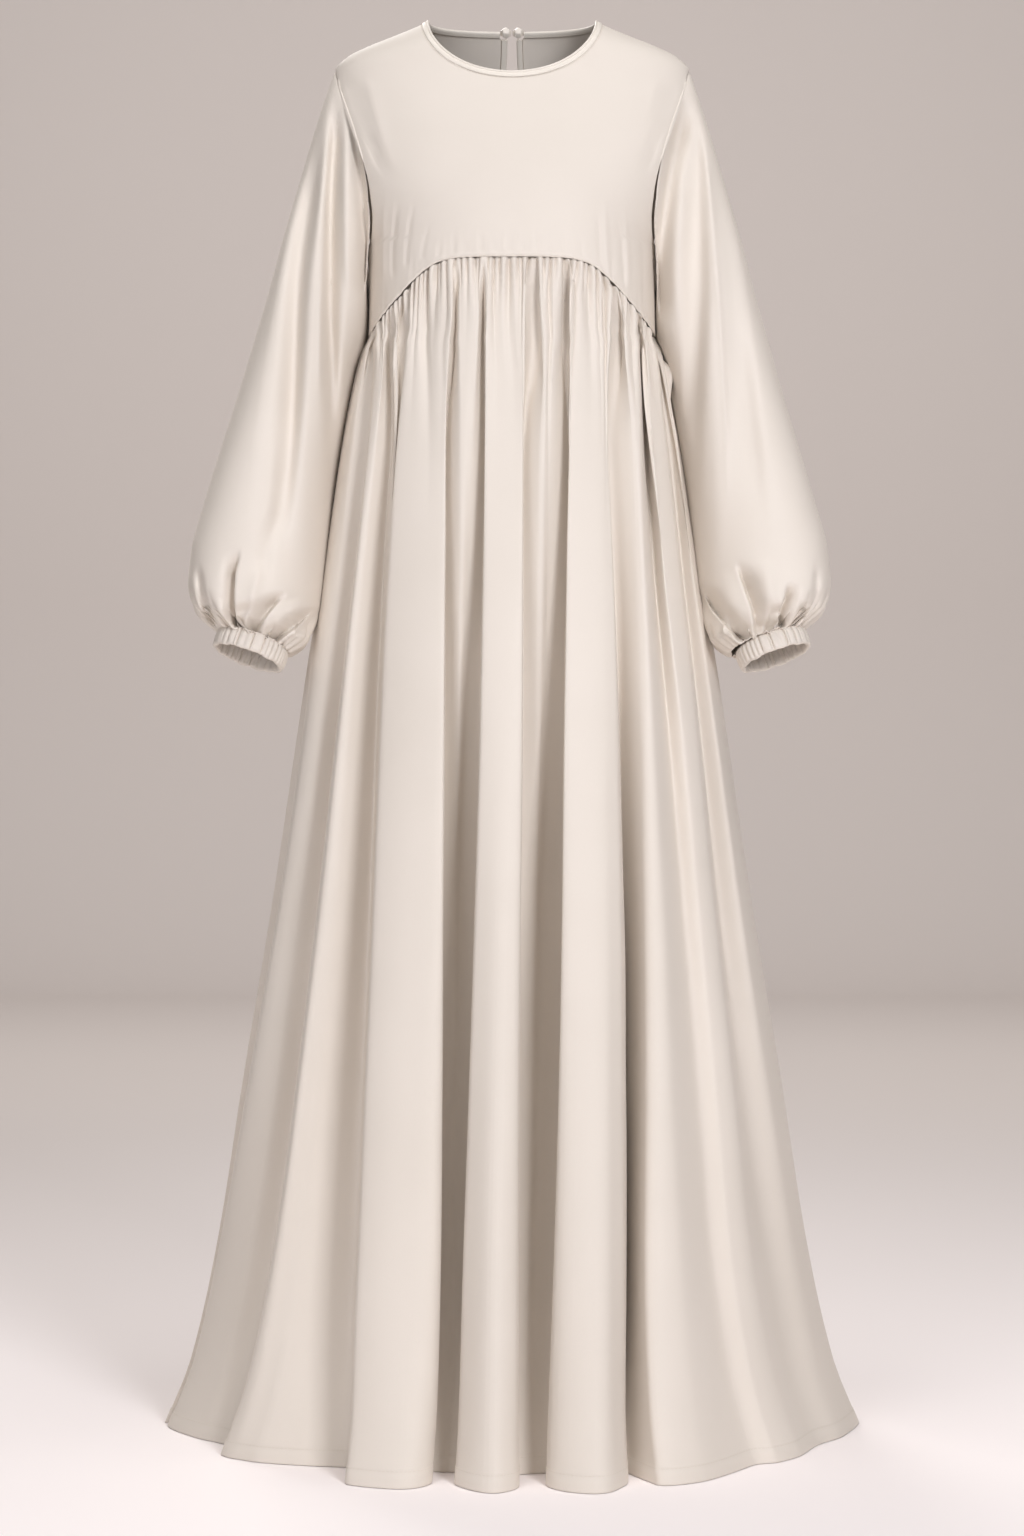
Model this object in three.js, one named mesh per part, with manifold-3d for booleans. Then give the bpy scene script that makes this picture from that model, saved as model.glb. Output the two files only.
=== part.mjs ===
import * as THREE from 'three';
import { mergeVertices } from 'three/addons/utils/BufferGeometryUtils.js';
import Module from 'manifold-3d';

// A full-length abaya with a round neck, an arched yoke seam, a gathered skirt and balloon
// sleeves in elastic cuffs. Millimetres, +Z up. The origin is midway between the two side-neck
// points, and the front faces -Y. Left and right are the wearer's, so the wearer's left is +X.
// A drop is a distance below the origin, and an angle runs round the body from the wearer's
// right side (-90) through the centre front or back (0) to the left side (90).

const HEM_DROP = 1500;
const WALL = 2;
const SEAM_GAP = 0.3;
const HALF_GAP = SEAM_GAP / 2;
const RAD = Math.PI / 180;
const FRONT = -1;
const BACK = 1;

// Horizontal sections of the body of the garment: half width, and the depth of the front and back.
const BODY = [
  { drop: 0, half: 88, front: 30, back: 67 },
  { drop: 5, half: 95, front: 36, back: 71 },
  { drop: 21, half: 131, front: 48, back: 80 },
  { drop: 31, half: 156, front: 54, back: 85 },
  { drop: 41, half: 176, front: 58, back: 89 },
  { drop: 55, half: 189.5, front: 62, back: 93 },
  { drop: 90, half: 192, front: 76, back: 100 },
  { drop: 129, half: 190, front: 92, back: 106 },
  { drop: 170, half: 183, front: 105, back: 109 },
  { drop: 199, half: 174, front: 112, back: 110 },
  { drop: 225, half: 163, front: 116, back: 110 },
  { drop: 248, half: 155, front: 119, back: 109 },
  { drop: 272, half: 153.5, front: 121, back: 107 },
  { drop: 342, half: 153, front: 124, back: 106 },
  { drop: 358, half: 161, front: 130, back: 111 },
  { drop: 383, half: 168.5, front: 136, back: 117 },
  { drop: 424, half: 177, front: 144, back: 125 },
  { drop: 535, half: 194, front: 164, back: 146 },
  { drop: 685, half: 218, front: 190, back: 174 },
  { drop: 941, half: 256, front: 236, back: 216 },
  { drop: 1134, half: 288, front: 270, back: 246 },
  { drop: 1305, half: 315, front: 301, back: 274 },
  { drop: 1433, half: 344, front: 325, back: 301 },
  { drop: HEM_DROP, half: 371, front: 345, back: 322 },
];
const SIDE_ROUND = 0.909;
const YOKE_DROP = 342;
const HEM_BOW = { [FRONT]: 1.6, [BACK]: 1.25 };

// The neck and shoulders.
const NECK_DROP = 5;
const NECK_HALF = 95;
const NECK_FRONT_FALL = 70;
const NECK_BACK_RISE = 2;
const SHOULDER_DROP = 55;
const UNDERARM_DROP = 248;
// How far the armhole cuts in, in degrees, how low its deepest place is and how full its curve.
const ARMHOLE_HOLLOW = { [FRONT]: 34, [BACK]: 24 };
const ARMHOLE_LOWNESS = 1.36;
const ARMHOLE_FULLNESS = 0.35;

// The arched yoke seam: its top, and where and how tightly it turns down to the side seams.
const ARCH = {
  [FRONT]: { top: 272, turn: 84, radius: 10 },
  [BACK]: { top: 300, turn: 112.8, radius: 14 },
};

// The skirt's fold lines, as angles at five heights from the seam to the hem. A row is a trough.
// The counts are the columns of the wall from this trough to the next.
const HEIGHTS = [0, 0.12, 0.4, 0.7, 1];
const FRONT_LINES = [
  { line: 'right side', seam: -90, high: -90, middle: -90, low: -90, hem: -90, columns: 4 },
  { line: 'fold 1', seam: -80, high: -80, middle: -69, low: -69, hem: -69, columns: 6 },
  { line: 'fold 2', seam: -58, high: -56, middle: -50.5, low: -49.5, hem: -53, columns: 8 },
  { line: 'fold 3', seam: -44.5, high: -43, middle: -36, low: -31, hem: -25.5, columns: 8 },
  { line: 'fold 3b', seam: -19, high: -18, middle: -12.4, low: -9.8, hem: -8.9, columns: 2 },
  { line: 'fold 4', seam: -9.5, high: -9.3, middle: -8, low: -8.4, hem: -8.1, columns: 8 },
  { line: 'fold 4b', seam: 5.6, high: 5.4, middle: 4.3, low: 3.5, hem: 1.7, columns: 2 },
  { line: 'fold 5', seam: 15, high: 14.2, middle: 8.7, low: 4.8, hem: 2.7, columns: 8 },
  { line: 'fold 6a', seam: 38, high: 36.5, middle: 28.3, low: 22.6, hem: 18.2, columns: 6 },
  { line: 'fold 6', seam: 49.5, high: 47.3, middle: 38, low: 34.1, hem: 31.3, columns: 8 },
  { line: 'fold 7', seam: 64.5, high: 62.7, middle: 54, low: 50.2, hem: 53, columns: 6 },
  { line: 'left strip', seam: 80, high: 77.4, middle: 69, low: 66.6, hem: 66.5, columns: 4 },
  { line: 'left side', seam: 90, high: 90, middle: 90, low: 90, hem: 90, columns: 0 },
];
const BACK_LINES = [
  { line: 'right side', seam: -90, high: -90, middle: -90, low: -90, hem: -90, columns: 4 },
  { line: 'fold 8', seam: -78, high: -76, middle: -70, low: -68, hem: -67, columns: 6 },
  { line: 'fold 9', seam: -55, high: -54, middle: -48, low: -45, hem: -47, columns: 8 },
  { line: 'fold 10', seam: -32, high: -30, middle: -24, low: -22, hem: -20, columns: 8 },
  { line: 'fold 10b', seam: -12, high: -11, middle: -6, low: -3, hem: -1.6, columns: 2 },
  { line: 'fold 11', seam: -3, high: -2.5, middle: -2, low: -1, hem: -0.8, columns: 8 },
  { line: 'fold 11b', seam: 16, high: 16, middle: 17, low: 18, hem: 19, columns: 2 },
  { line: 'fold 12', seam: 25, high: 24, middle: 21, low: 20, hem: 20, columns: 8 },
  { line: 'fold 13', seam: 47, high: 46, middle: 42, low: 40, hem: 43, columns: 8 },
  { line: 'left strip', seam: 73, high: 72, middle: 68, low: 66, hem: 66, columns: 4 },
  { line: 'left side', seam: 90, high: 90, middle: 90, low: 90, hem: 90, columns: 0 },
];

// How far each trough lies under the outer form at those heights, and then the same for the
// crest that follows it. Every fold starts flush at the seam.
const FRONT_DEPTHS = [
  { high: 0, middle: 0, low: 0, hem: 0, crestHigh: 0, crestMiddle: 0, crestLow: 0, crestHem: 0 },
  { high: 9, middle: 14, low: 16, hem: 12, crestHigh: 0, crestMiddle: 0, crestLow: 4, crestHem: 22 },
  { high: 16, middle: 40, low: 52, hem: 48, crestHigh: 0, crestMiddle: 2, crestLow: 12, crestHem: 40 },
  { high: 17, middle: 42, low: 66, hem: 84, crestHigh: 0, crestMiddle: 0, crestLow: 0, crestHem: 0 },
  { high: 17, middle: 42, low: 66, hem: 88, crestHigh: 6, crestMiddle: 36, crestLow: 66, crestHem: 88 },
  { high: 18, middle: 42, low: 66, hem: 88, crestHigh: 0, crestMiddle: 0, crestLow: 4, crestHem: 18 },
  { high: 17, middle: 42, low: 66, hem: 86, crestHigh: 5, crestMiddle: 34, crestLow: 66, crestHem: 86 },
  { high: 17, middle: 42, low: 66, hem: 86, crestHigh: 0, crestMiddle: 0, crestLow: 0, crestHem: 4 },
  { high: 16, middle: 42, low: 64, hem: 80, crestHigh: 2, crestMiddle: 6, crestLow: 4, crestHem: 4 },
  { high: 16, middle: 16, low: 14, hem: 10, crestHigh: 0, crestMiddle: 0, crestLow: 4, crestHem: 14 },
  { high: 16, middle: 34, low: 44, hem: 38, crestHigh: 0, crestMiddle: 0, crestLow: 4, crestHem: 14 },
  { high: 8, middle: 12, low: 14, hem: 10, crestHigh: 0, crestMiddle: 0, crestLow: 2, crestHem: 4 },
  { high: 0, middle: 0, low: 0, hem: 0, crestHigh: 0, crestMiddle: 0, crestLow: 0, crestHem: 0 },
];
const BACK_DEPTHS = [
  { high: 0, middle: 0, low: 0, hem: 0, crestHigh: 0, crestMiddle: 0, crestLow: 0, crestHem: 0 },
  { high: 10, middle: 18, low: 22, hem: 20, crestHigh: 0, crestMiddle: 0, crestLow: 0, crestHem: 6 },
  { high: 15, middle: 36, low: 52, hem: 62, crestHigh: 0, crestMiddle: 2, crestLow: 4, crestHem: 8 },
  { high: 16, middle: 38, low: 58, hem: 74, crestHigh: 0, crestMiddle: 0, crestLow: 0, crestHem: 0 },
  { high: 16, middle: 38, low: 58, hem: 76, crestHigh: 5, crestMiddle: 32, crestLow: 58, crestHem: 76 },
  { high: 16, middle: 38, low: 58, hem: 76, crestHigh: 0, crestMiddle: 0, crestLow: 2, crestHem: 6 },
  { high: 15, middle: 36, low: 56, hem: 72, crestHigh: 6, crestMiddle: 32, crestLow: 56, crestHem: 72 },
  { high: 15, middle: 36, low: 56, hem: 72, crestHigh: 0, crestMiddle: 0, crestLow: 0, crestHem: 4 },
  { high: 14, middle: 34, low: 50, hem: 60, crestHigh: 0, crestMiddle: 2, crestLow: 4, crestHem: 6 },
  { high: 8, middle: 16, low: 22, hem: 20, crestHigh: 0, crestMiddle: 0, crestLow: 0, crestHem: 0 },
  { high: 0, middle: 0, low: 0, hem: 0, crestHigh: 0, crestMiddle: 0, crestLow: 0, crestHem: 0 },
];

// A deep fold grows from a wave at the seam into a tube that swells past its troughs.
const TUBE = { swell: 0.95, overhang: 0.17, fullAt: 0.3, deep: 40 };

// The fine gathers of the yoke seam. Each one's place, height and length differ by a share that
// comes from the sine of its number times a pitch.
const GATHERS = { [FRONT]: 44, [BACK]: 40 };
const GATHER = { height: 3.6, length: 62, atSeam: 0.6, openBy: 8, fading: 1.5, fullness: 0.8 };
const UNEVEN = {
  place: { share: 0.3, pitch: 2.4, wander: 1.3 },
  height: { share: 0.25, pitch: 1.9 },
  length: { share: 0.5, pitch: 2.7, phase: 1 },
};
const GATHER_COLUMNS = [0, 0.3, 0.7];
const GATHER_ROWS = [0, 0.007, 0.02, 0.042];
const FOLD_ROWS = [0.08, 0.15, 0.26, 0.4, 0.56, 0.73, 0.86, 0.94, 1];

// Sections of a sleeve from the armhole to the cuff. A section runs through its outer and inner
// points, and reaches out to the front and back of its middle, which itself comes forward. Its
// front is lifted where the section tips up towards the cuff.
const SLEEVE = [
  { at: 0, outX: 189.5, outDrop: 55, inX: 155, inDrop: 248, front: 62, back: 62, fore: 0, lift: 0 },
  { at: 0.07, outX: 205, outDrop: 101, inX: 156, inDrop: 292, front: 66, back: 66, fore: 0, lift: 0 },
  { at: 0.15, outX: 225, outDrop: 169, inX: 158, inDrop: 336, front: 72, back: 70, fore: 0, lift: 0 },
  { at: 0.23, outX: 244, outDrop: 236, inX: 171, inDrop: 378, front: 76, back: 72, fore: 2, lift: 0 },
  { at: 0.31, outX: 260, outDrop: 296, inX: 180.5, inDrop: 420, front: 77, back: 73, fore: 4, lift: 0 },
  { at: 0.39, outX: 276, outDrop: 351, inX: 188, inDrop: 460, front: 77, back: 73, fore: 7, lift: 0 },
  { at: 0.47, outX: 292, outDrop: 406, inX: 195, inDrop: 502, front: 77, back: 73, fore: 12, lift: 0 },
  { at: 0.55, outX: 308, outDrop: 458, inX: 200, inDrop: 540, front: 77, back: 73, fore: 18, lift: 0 },
  { at: 0.64, outX: 325, outDrop: 516, inX: 205, inDrop: 580, front: 77, back: 73, fore: 26, lift: 0 },
  { at: 0.74, outX: 339, outDrop: 572, inX: 209, inDrop: 618, front: 76, back: 73, fore: 35, lift: 0 },
  { at: 0.83, outX: 341, outDrop: 607, inX: 212, inDrop: 645, front: 71, back: 69, fore: 46, lift: 4 },
  { at: 0.91, outX: 333, outDrop: 632, inX: 215, inDrop: 664, front: 60, back: 60, fore: 55, lift: 8 },
  { at: 0.97, outX: 318, outDrop: 645, inX: 227, inDrop: 674, front: 46, back: 46, fore: 62, lift: 10.5 },
  { at: 1, outX: 306, outDrop: 654, inX: 235, inDrop: 678, front: 38, back: 38, fore: 65, lift: 8.5 },
];
const SLEEVE_ROUND = 0.88;
const ARMHOLE_REACH = 0.3;
const UNDERARM_PROUD = 0.8;
const UNDERARM_CLEAR = 2;
const UNDERARM_STARTS = 0.9;
const CUFF_REACH = 0.94;

// Long soft troughs down a sleeve, at an angle round it at the top, middle and end of their run.
const SLEEVE_TROUGHS = [
  { start: 0.04, end: 0.72, from: 22, mid: 82, to: 122, depth: 13, width: 24 },
  { start: 0.03, end: 0.36, from: 62, mid: 104, to: 142, depth: 9, width: 20 },
  { start: 0.04, end: 0.66, from: 334, mid: 288, to: 262, depth: 12, width: 24 },
  { start: 0.05, end: 0.4, from: 300, mid: 250, to: 222, depth: 8, width: 20 },
];
const TROUGH_FADE = 0.7;
const SLEEVE_COLUMNS = 20;
const SLEEVE_ROWS = [0, 0.02, 0.07, 0.14, 0.24, 0.36, 0.5, 0.64, 0.76, 0.84];
const SLEEVE_GATHERS = 18;
const SLEEVE_GATHER = { height: 4, start: 0.8, full: 0.96, pinch: 0.6, fullness: 0.8 };
const SLEEVE_GATHER_ROWS = [0.9, 0.96, 1];

// The elastic cuffs.
const CUFF = { x: 270.5, y: -65, drop: 666.3, radius: 38, height: 20, wall: 3, bow: 1 };
const CUFF_OUT_TILT = 19 * RAD;
const CUFF_FORE_TILT = 13 * RAD;
const CUFF_RIBS = 24;
const CUFF_RIB_HEIGHT = 1.2;

// The bindings, the keyhole and the knobs at the back neck.
const BINDING_WIDTH = 6.5;
const BINDING_GAP = 0.5;
const BINDING_PROUD = 0.7;
const BINDING_BOW = 0.6;
const BINDING_EDGE = { top: 0.2, bottom: 0.8 };
const KEYHOLE = { top: 5, wide: 8.5, wideDrop: 80, end: 108, spread: 0.85 };
const KEYHOLE_POINTS = 10;
const KNOB_RADIUS = 6.6;
const KNOB_X = 6.6;
const KNOB_RISE = 2;
const KNOB_INSET = 1;
const KNOB_TILT = 0.3;

const CLOTH = { color: 0xe3dace, roughness: 0.62, metalness: 0 };
const TRIM = { color: 0xe8dfd4, roughness: 0.55, metalness: 0 };
const BUTTON = { color: 0xe9e1d7, roughness: 0.35, metalness: 0 };

const clamp01 = (value) => Math.min(1, Math.max(0, value));
const ease = (value) => clamp01(value) ** 2 * (3 - 2 * clamp01(value));
const signedPower = (value, power) => Math.sign(value) * Math.abs(value) ** power;

// A smooth curve through the rows of a table, with no overshoot between them.
function curve(xs, ys) {
  const last = xs.length - 1;
  const slopes = [];
  for (let i = 0; i < last; i += 1) {
    slopes.push((ys[i + 1] - ys[i]) / (xs[i + 1] - xs[i]));
  }
  const tangents = xs.map((_, i) => {
    if (i === 0) return slopes[0];
    if (i === last) return slopes[last - 1];
    const before = slopes[i - 1];
    const after = slopes[i];
    return before * after <= 0 ? 0 : (2 * before * after) / (before + after);
  });
  return (x) => {
    if (x <= xs[0]) return ys[0];
    if (x >= xs[last]) return ys[last];
    const i = xs.findIndex((edge) => edge > x) - 1;
    const step = xs[i + 1] - xs[i];
    const u = (x - xs[i]) / step;
    const start = ys[i] * (1 + 2 * u) * (1 - u) ** 2 + tangents[i] * step * u * (1 - u) ** 2;
    const end = ys[i + 1] * u * u * (3 - 2 * u) - tangents[i + 1] * step * u * u * (1 - u);
    return start + end;
  };
}

const column = (rows, by, name) => curve(rows.map((row) => row[by]), rows.map((row) => row[name]));
const bodyHalf = column(BODY, 'drop', 'half');
const bodyDepth = { [FRONT]: column(BODY, 'drop', 'front'), [BACK]: column(BODY, 'drop', 'back') };

// A point of the body of the garment at an angle and a drop, with no folds.
function bodyPoint(side, angle, drop) {
  const below = clamp01((drop - YOKE_DROP) / (HEM_DROP - YOKE_DROP));
  const bow = SIDE_ROUND + (HEM_BOW[side] - SIDE_ROUND) * below;
  const x = bodyHalf(drop) * signedPower(Math.sin(angle * RAD), SIDE_ROUND);
  const y = side * bodyDepth[side](drop) * Math.abs(Math.cos(angle * RAD)) ** bow;
  return new THREE.Vector3(x, y, -drop);
}

function bodyNormal(side, angle, drop) {
  const step = 0.4;
  if (Math.abs(angle) > 90 - step) {
    const fall = bodyHalf(drop + 1) - bodyHalf(drop - 1);
    return new THREE.Vector3(Math.sign(angle) * 2, 0, fall).normalize();
  }
  const round = bodyPoint(side, angle + step, drop).sub(bodyPoint(side, angle - step, drop));
  const down = bodyPoint(side, angle, drop + 1).sub(bodyPoint(side, angle, drop - 1));
  return round.cross(down).multiplyScalar(side).normalize();
}

// The angle at which the body has a given x.
function angleAt(x, drop) {
  const reach = Math.min(1, Math.abs(x) / bodyHalf(drop));
  return (Math.sign(x) * Math.asin(reach ** (1 / SIDE_ROUND))) / RAD;
}

// The front and back meet in the plane of the side and shoulder seams, half a gap to each side.
function settle(side, point) {
  if (side * point.y < HALF_GAP) point.y = side * HALF_GAP;
  return point;
}

function archDrop(side, x) {
  const { top, turn, radius } = ARCH[side];
  return top + radius * Math.log(1 + Math.exp((Math.abs(x) - turn) / radius));
}

// The seam's drop at an angle round the body, where the body is straight-sided.
const seamDrop = (side, angle) => archDrop(side, bodyPoint(side, angle, YOKE_DROP).x);

function armholeAngle(side, share) {
  const turn = Math.PI * clamp01(share) ** ARMHOLE_LOWNESS;
  return 90 - ARMHOLE_HOLLOW[side] * Math.sin(turn) ** ARMHOLE_FULLNESS;
}

// One closed wall from rows of outer and inner points. A row that has more points than the next
// is joined to it by their places along the row. A tube's rows close on themselves.
function wall(rows, isTube) {
  const positions = [];
  const starts = rows.map((row) => {
    const start = positions.length / 3;
    row.forEach(({ outer, inner }) => positions.push(...outer.toArray(), ...inner.toArray()));
    return start;
  });
  const faces = [];
  const outerAt = (r, i) => starts[r] + 2 * (i % rows[r].length);
  const triangle = (a, b, c) => faces.push(a, b, c, c + 1, b + 1, a + 1);
  const lastOf = (r) => (isTube ? rows[r].length : rows[r].length - 1);
  for (let r = 0; r + 1 < rows.length; r += 1) {
    let i = 0;
    let j = 0;
    const place = (row, k, count) => (k < rows[row].length ? rows[row][k].at : count);
    while (i < lastOf(r) || j < lastOf(r + 1)) {
      const end = Math.max(rows[r].at(-1).at, rows[r + 1].at(-1).at) + 1;
      const above = i < lastOf(r) ? place(r, i + 1, end) : Infinity;
      const below = j < lastOf(r + 1) ? place(r + 1, j + 1, end) : Infinity;
      if (above <= below) {
        triangle(outerAt(r, i), outerAt(r + 1, j), outerAt(r, i + 1));
        i += 1;
      } else {
        triangle(outerAt(r, i), outerAt(r + 1, j), outerAt(r + 1, j + 1));
        j += 1;
      }
    }
  }
  const rim = (a, b) => faces.push(a, b, a + 1, b, b + 1, a + 1);
  for (let i = 0; i < lastOf(0); i += 1) rim(outerAt(0, i), outerAt(0, i + 1));
  const bottom = rows.length - 1;
  for (let i = 0; i < lastOf(bottom); i += 1) rim(outerAt(bottom, i + 1), outerAt(bottom, i));
  for (let r = 0; r < bottom && !isTube; r += 1) {
    rim(outerAt(r + 1, 0), outerAt(r, 0));
    rim(outerAt(r, lastOf(r)), outerAt(r + 1, lastOf(r + 1)));
  }
  return facingOut(positions, faces);
}

// A closed solid swept from rings of points, with its ends capped unless it closes on itself.
function sweep(rings, isLoop) {
  const size = rings[0].length;
  const positions = rings.flat().flatMap((point) => point.toArray());
  const faces = [];
  const at = (ring, i) => (ring % rings.length) * size + (i % size);
  const bands = isLoop ? rings.length : rings.length - 1;
  for (let ring = 0; ring < bands; ring += 1) {
    for (let i = 0; i < size; i += 1) {
      faces.push(at(ring, i), at(ring, i + 1), at(ring + 1, i));
      faces.push(at(ring, i + 1), at(ring + 1, i + 1), at(ring + 1, i));
    }
  }
  for (let i = 1; i + 1 < size && !isLoop; i += 1) {
    faces.push(at(0, 0), at(0, i + 1), at(0, i));
    faces.push(at(bands, 0), at(bands, i), at(bands, i + 1));
  }
  return facingOut(positions, faces);
}

function facingOut(positions, faces) {
  const corner = (k) => new THREE.Vector3().fromArray(positions, faces[k] * 3);
  let volume = 0;
  for (let k = 0; k < faces.length; k += 3) {
    volume += corner(k).dot(corner(k + 1).cross(corner(k + 2)));
  }
  const geometry = new THREE.BufferGeometry();
  geometry.setAttribute('position', new THREE.Float32BufferAttribute(positions, 3));
  geometry.setIndex(volume > 0 ? faces : faces.reverse());
  return geometry;
}

// The skirt

function skirtPanel(side, lines, depths) {
  const names = ['seam', 'high', 'middle', 'low', 'hem'];
  const angles = lines.map((row) => curve(HEIGHTS, names.map((name) => row[name])));
  const sinks = depths.map((row) => curve(HEIGHTS, [0, row.high, row.middle, row.low, row.hem]));
  const crests = depths.map((row) => (
    curve(HEIGHTS, [0, row.crestHigh, row.crestMiddle, row.crestLow, row.crestHem])));
  const folds = lines.length - 1;
  return { side, lines, angles, sinks, crests, folds, gathers: gatherEdges(side, angles) };
}

// A place along a panel is the number of its fold plus the share of the way across it.
function placeOf(angles, seamAngle) {
  const fold = Math.max(0, angles.findLastIndex((angle) => angle(0) <= seamAngle));
  if (fold >= angles.length - 1) return angles.length - 1;
  return fold + (seamAngle - angles[fold](0)) / (angles[fold + 1](0) - angles[fold](0));
}

function seamAngle({ angles, folds }, place) {
  const fold = Math.min(folds - 1, Math.floor(place));
  return angles[fold](0) + (angles[fold + 1](0) - angles[fold](0)) * (place - fold);
}

// The places between gathers, evenly spaced along the seam but for a steady unevenness.
function gatherEdges(side, angles) {
  const count = GATHERS[side];
  const samples = 360;
  const lengths = [0];
  for (let i = 1; i <= samples; i += 1) {
    const [from, to] = [i - 1, i].map((k) => {
      const angle = -90 + (180 * k) / samples;
      return bodyPoint(side, angle, seamDrop(side, angle));
    });
    lengths.push(lengths.at(-1) + from.distanceTo(to));
  }
  const edges = [];
  for (let i = 0; i <= count; i += 1) {
    const { share, pitch, wander } = UNEVEN.place;
    const isEnd = i === 0 || i === count;
    const uneven = isEnd ? 0 : share * Math.sin(i * pitch + Math.sin(i * wander));
    const length = (lengths.at(-1) * (i + uneven)) / count;
    const k = Math.min(samples - 1, Math.max(0, lengths.findLastIndex((value) => value <= length)));
    const part = (length - lengths[k]) / (lengths[k + 1] - lengths[k]);
    edges.push(placeOf(angles, -90 + (180 * (k + part)) / samples));
  }
  return edges;
}

function foldPoint(panel, place, height) {
  const fold = Math.min(panel.folds - 1, Math.floor(place));
  const across = place - fold - 0.5;
  const sink = panel.sinks[across < 0 ? fold : fold + 1](height);
  const crest = panel.crests[fold](height);
  const grown = ease(height / TUBE.fullAt) * ease((sink - crest) / TUBE.deep);
  const moved = 0.5 + across + (TUBE.swell * grown * Math.sin(4 * Math.PI * across)) / (4 * Math.PI)
    + TUBE.overhang * grown * Math.sin(2 * Math.PI * across);
  const from = panel.angles[fold](height);
  const to = panel.angles[fold + 1](height);
  const angle = from + (to - from) * moved;
  const raised = (1 + Math.cos(2 * Math.PI * across)) / 2;
  const start = seamDrop(panel.side, seamAngle(panel, place)) + HALF_GAP;
  const drop = start + (HEM_DROP - start) * height;
  const inset = crest + (sink - crest) * (1 - raised);
  return bodyPoint(panel.side, angle, drop).addScaledVector(levelNormal(panel.side, angle, drop), -inset);
}

function levelNormal(side, angle, drop) {
  const normal = bodyNormal(side, angle, drop);
  normal.z = 0;
  return normal.normalize();
}

// The horizontal normal of the folded cloth.
function clothNormal(panel, place, height) {
  if (place <= 0 || place >= panel.folds) return new THREE.Vector3(place <= 0 ? -1 : 1, 0, 0);
  const step = 0.012;
  const along = foldPoint(panel, place + step, height).sub(foldPoint(panel, place - step, height));
  return new THREE.Vector3(-along.y, along.x, 0).multiplyScalar(panel.side).normalize();
}

function gatherRise(panel, place, below) {
  const { gathers } = panel;
  const i = Math.min(gathers.length - 2, Math.max(0, gathers.findLastIndex((edge) => edge <= place)));
  const v = (place - gathers[i]) / (gathers[i + 1] - gathers[i]);
  const height = GATHER.height * (1 + UNEVEN.height.share * Math.sin(i * UNEVEN.height.pitch));
  const swing = Math.sin(i * UNEVEN.length.pitch + UNEVEN.length.phase);
  const length = GATHER.length * (1 + UNEVEN.length.share * swing);
  const opened = GATHER.atSeam + (1 - GATHER.atSeam) * ease(below / GATHER.openBy);
  const fade = opened * Math.exp(-((below / length) ** GATHER.fading));
  return height * Math.max(0, Math.sin(Math.PI * clamp01(v))) ** GATHER.fullness * fade;
}

function skirtWallPoint(panel, place, height) {
  const outer = foldPoint(panel, place, height);
  const normal = clothNormal(panel, place, height);
  outer.addScaledVector(normal, gatherRise(panel, place, height * (HEM_DROP - YOKE_DROP)));
  const inner = settle(panel.side, outer.clone().addScaledVector(normal, -WALL));
  return { outer: settle(panel.side, outer), inner, at: place };
}

function skirtGeometry(panel) {
  const fine = panel.gathers.slice(0, -1).flatMap((edge, i) => (
    GATHER_COLUMNS.map((v) => edge + (panel.gathers[i + 1] - edge) * v)));
  const coarse = panel.lines.flatMap(({ columns }, fold) => (
    Array.from({ length: columns }, (_, k) => fold + k / columns)));
  const rowOf = (places, height) => (
    [...places, panel.folds].map((place) => skirtWallPoint(panel, place, height)));
  return wall([
    ...GATHER_ROWS.map((height) => rowOf(fine, height)),
    ...FOLD_ROWS.map((height) => rowOf(coarse, height)),
  ], false);
}

// The bodice

// The columns of a bodice panel, from the right armhole to the middle: shoulder and then neck. The
// top edge's shape reaches down this share of the panel.
const SHOULDER_COLUMNS = [0, 0.03, 0.07, 0.15];
const NECK_START = 0.22;
const TOP_INFLUENCE = 0.62;
const NECK_COLUMNS = [0, 0.027, 0.07, 0.125, 0.195, 0.285, 0.375, 0.46];
const neckTurns = [...NECK_COLUMNS, 0.5, ...NECK_COLUMNS.map((turn) => 1 - turn).reverse()];

// The top edge of a bodice panel from the right shoulder tip round the neck to the left one.
function topEdge(side, share) {
  if (share < NECK_START || share > 1 - NECK_START) {
    const along = Math.min(share, 1 - share) / NECK_START;
    const drop = SHOULDER_DROP + (NECK_DROP - SHOULDER_DROP) * along;
    return { angle: share < 0.5 ? -90 : 90, drop };
  }
  const turn = Math.PI * ((share - NECK_START) / (1 - 2 * NECK_START));
  const x = -NECK_HALF * Math.cos(turn);
  if (side === BACK) {
    const drop = NECK_DROP - NECK_BACK_RISE * Math.sin(turn) ** 2;
    return { angle: -90 + (180 * turn) / Math.PI, drop };
  }
  const drop = NECK_DROP + NECK_FRONT_FALL * Math.sin(turn);
  return { angle: angleAt(x, drop), drop };
}

function sideEdge(side, share, sign) {
  const end = seamDrop(side, 90) - HALF_GAP;
  const drop = SHOULDER_DROP + (end - SHOULDER_DROP) * share;
  const down = (drop - SHOULDER_DROP) / (UNDERARM_DROP - SHOULDER_DROP);
  return { angle: sign * (down < 1 ? armholeAngle(side, down) : 90), drop };
}

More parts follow.
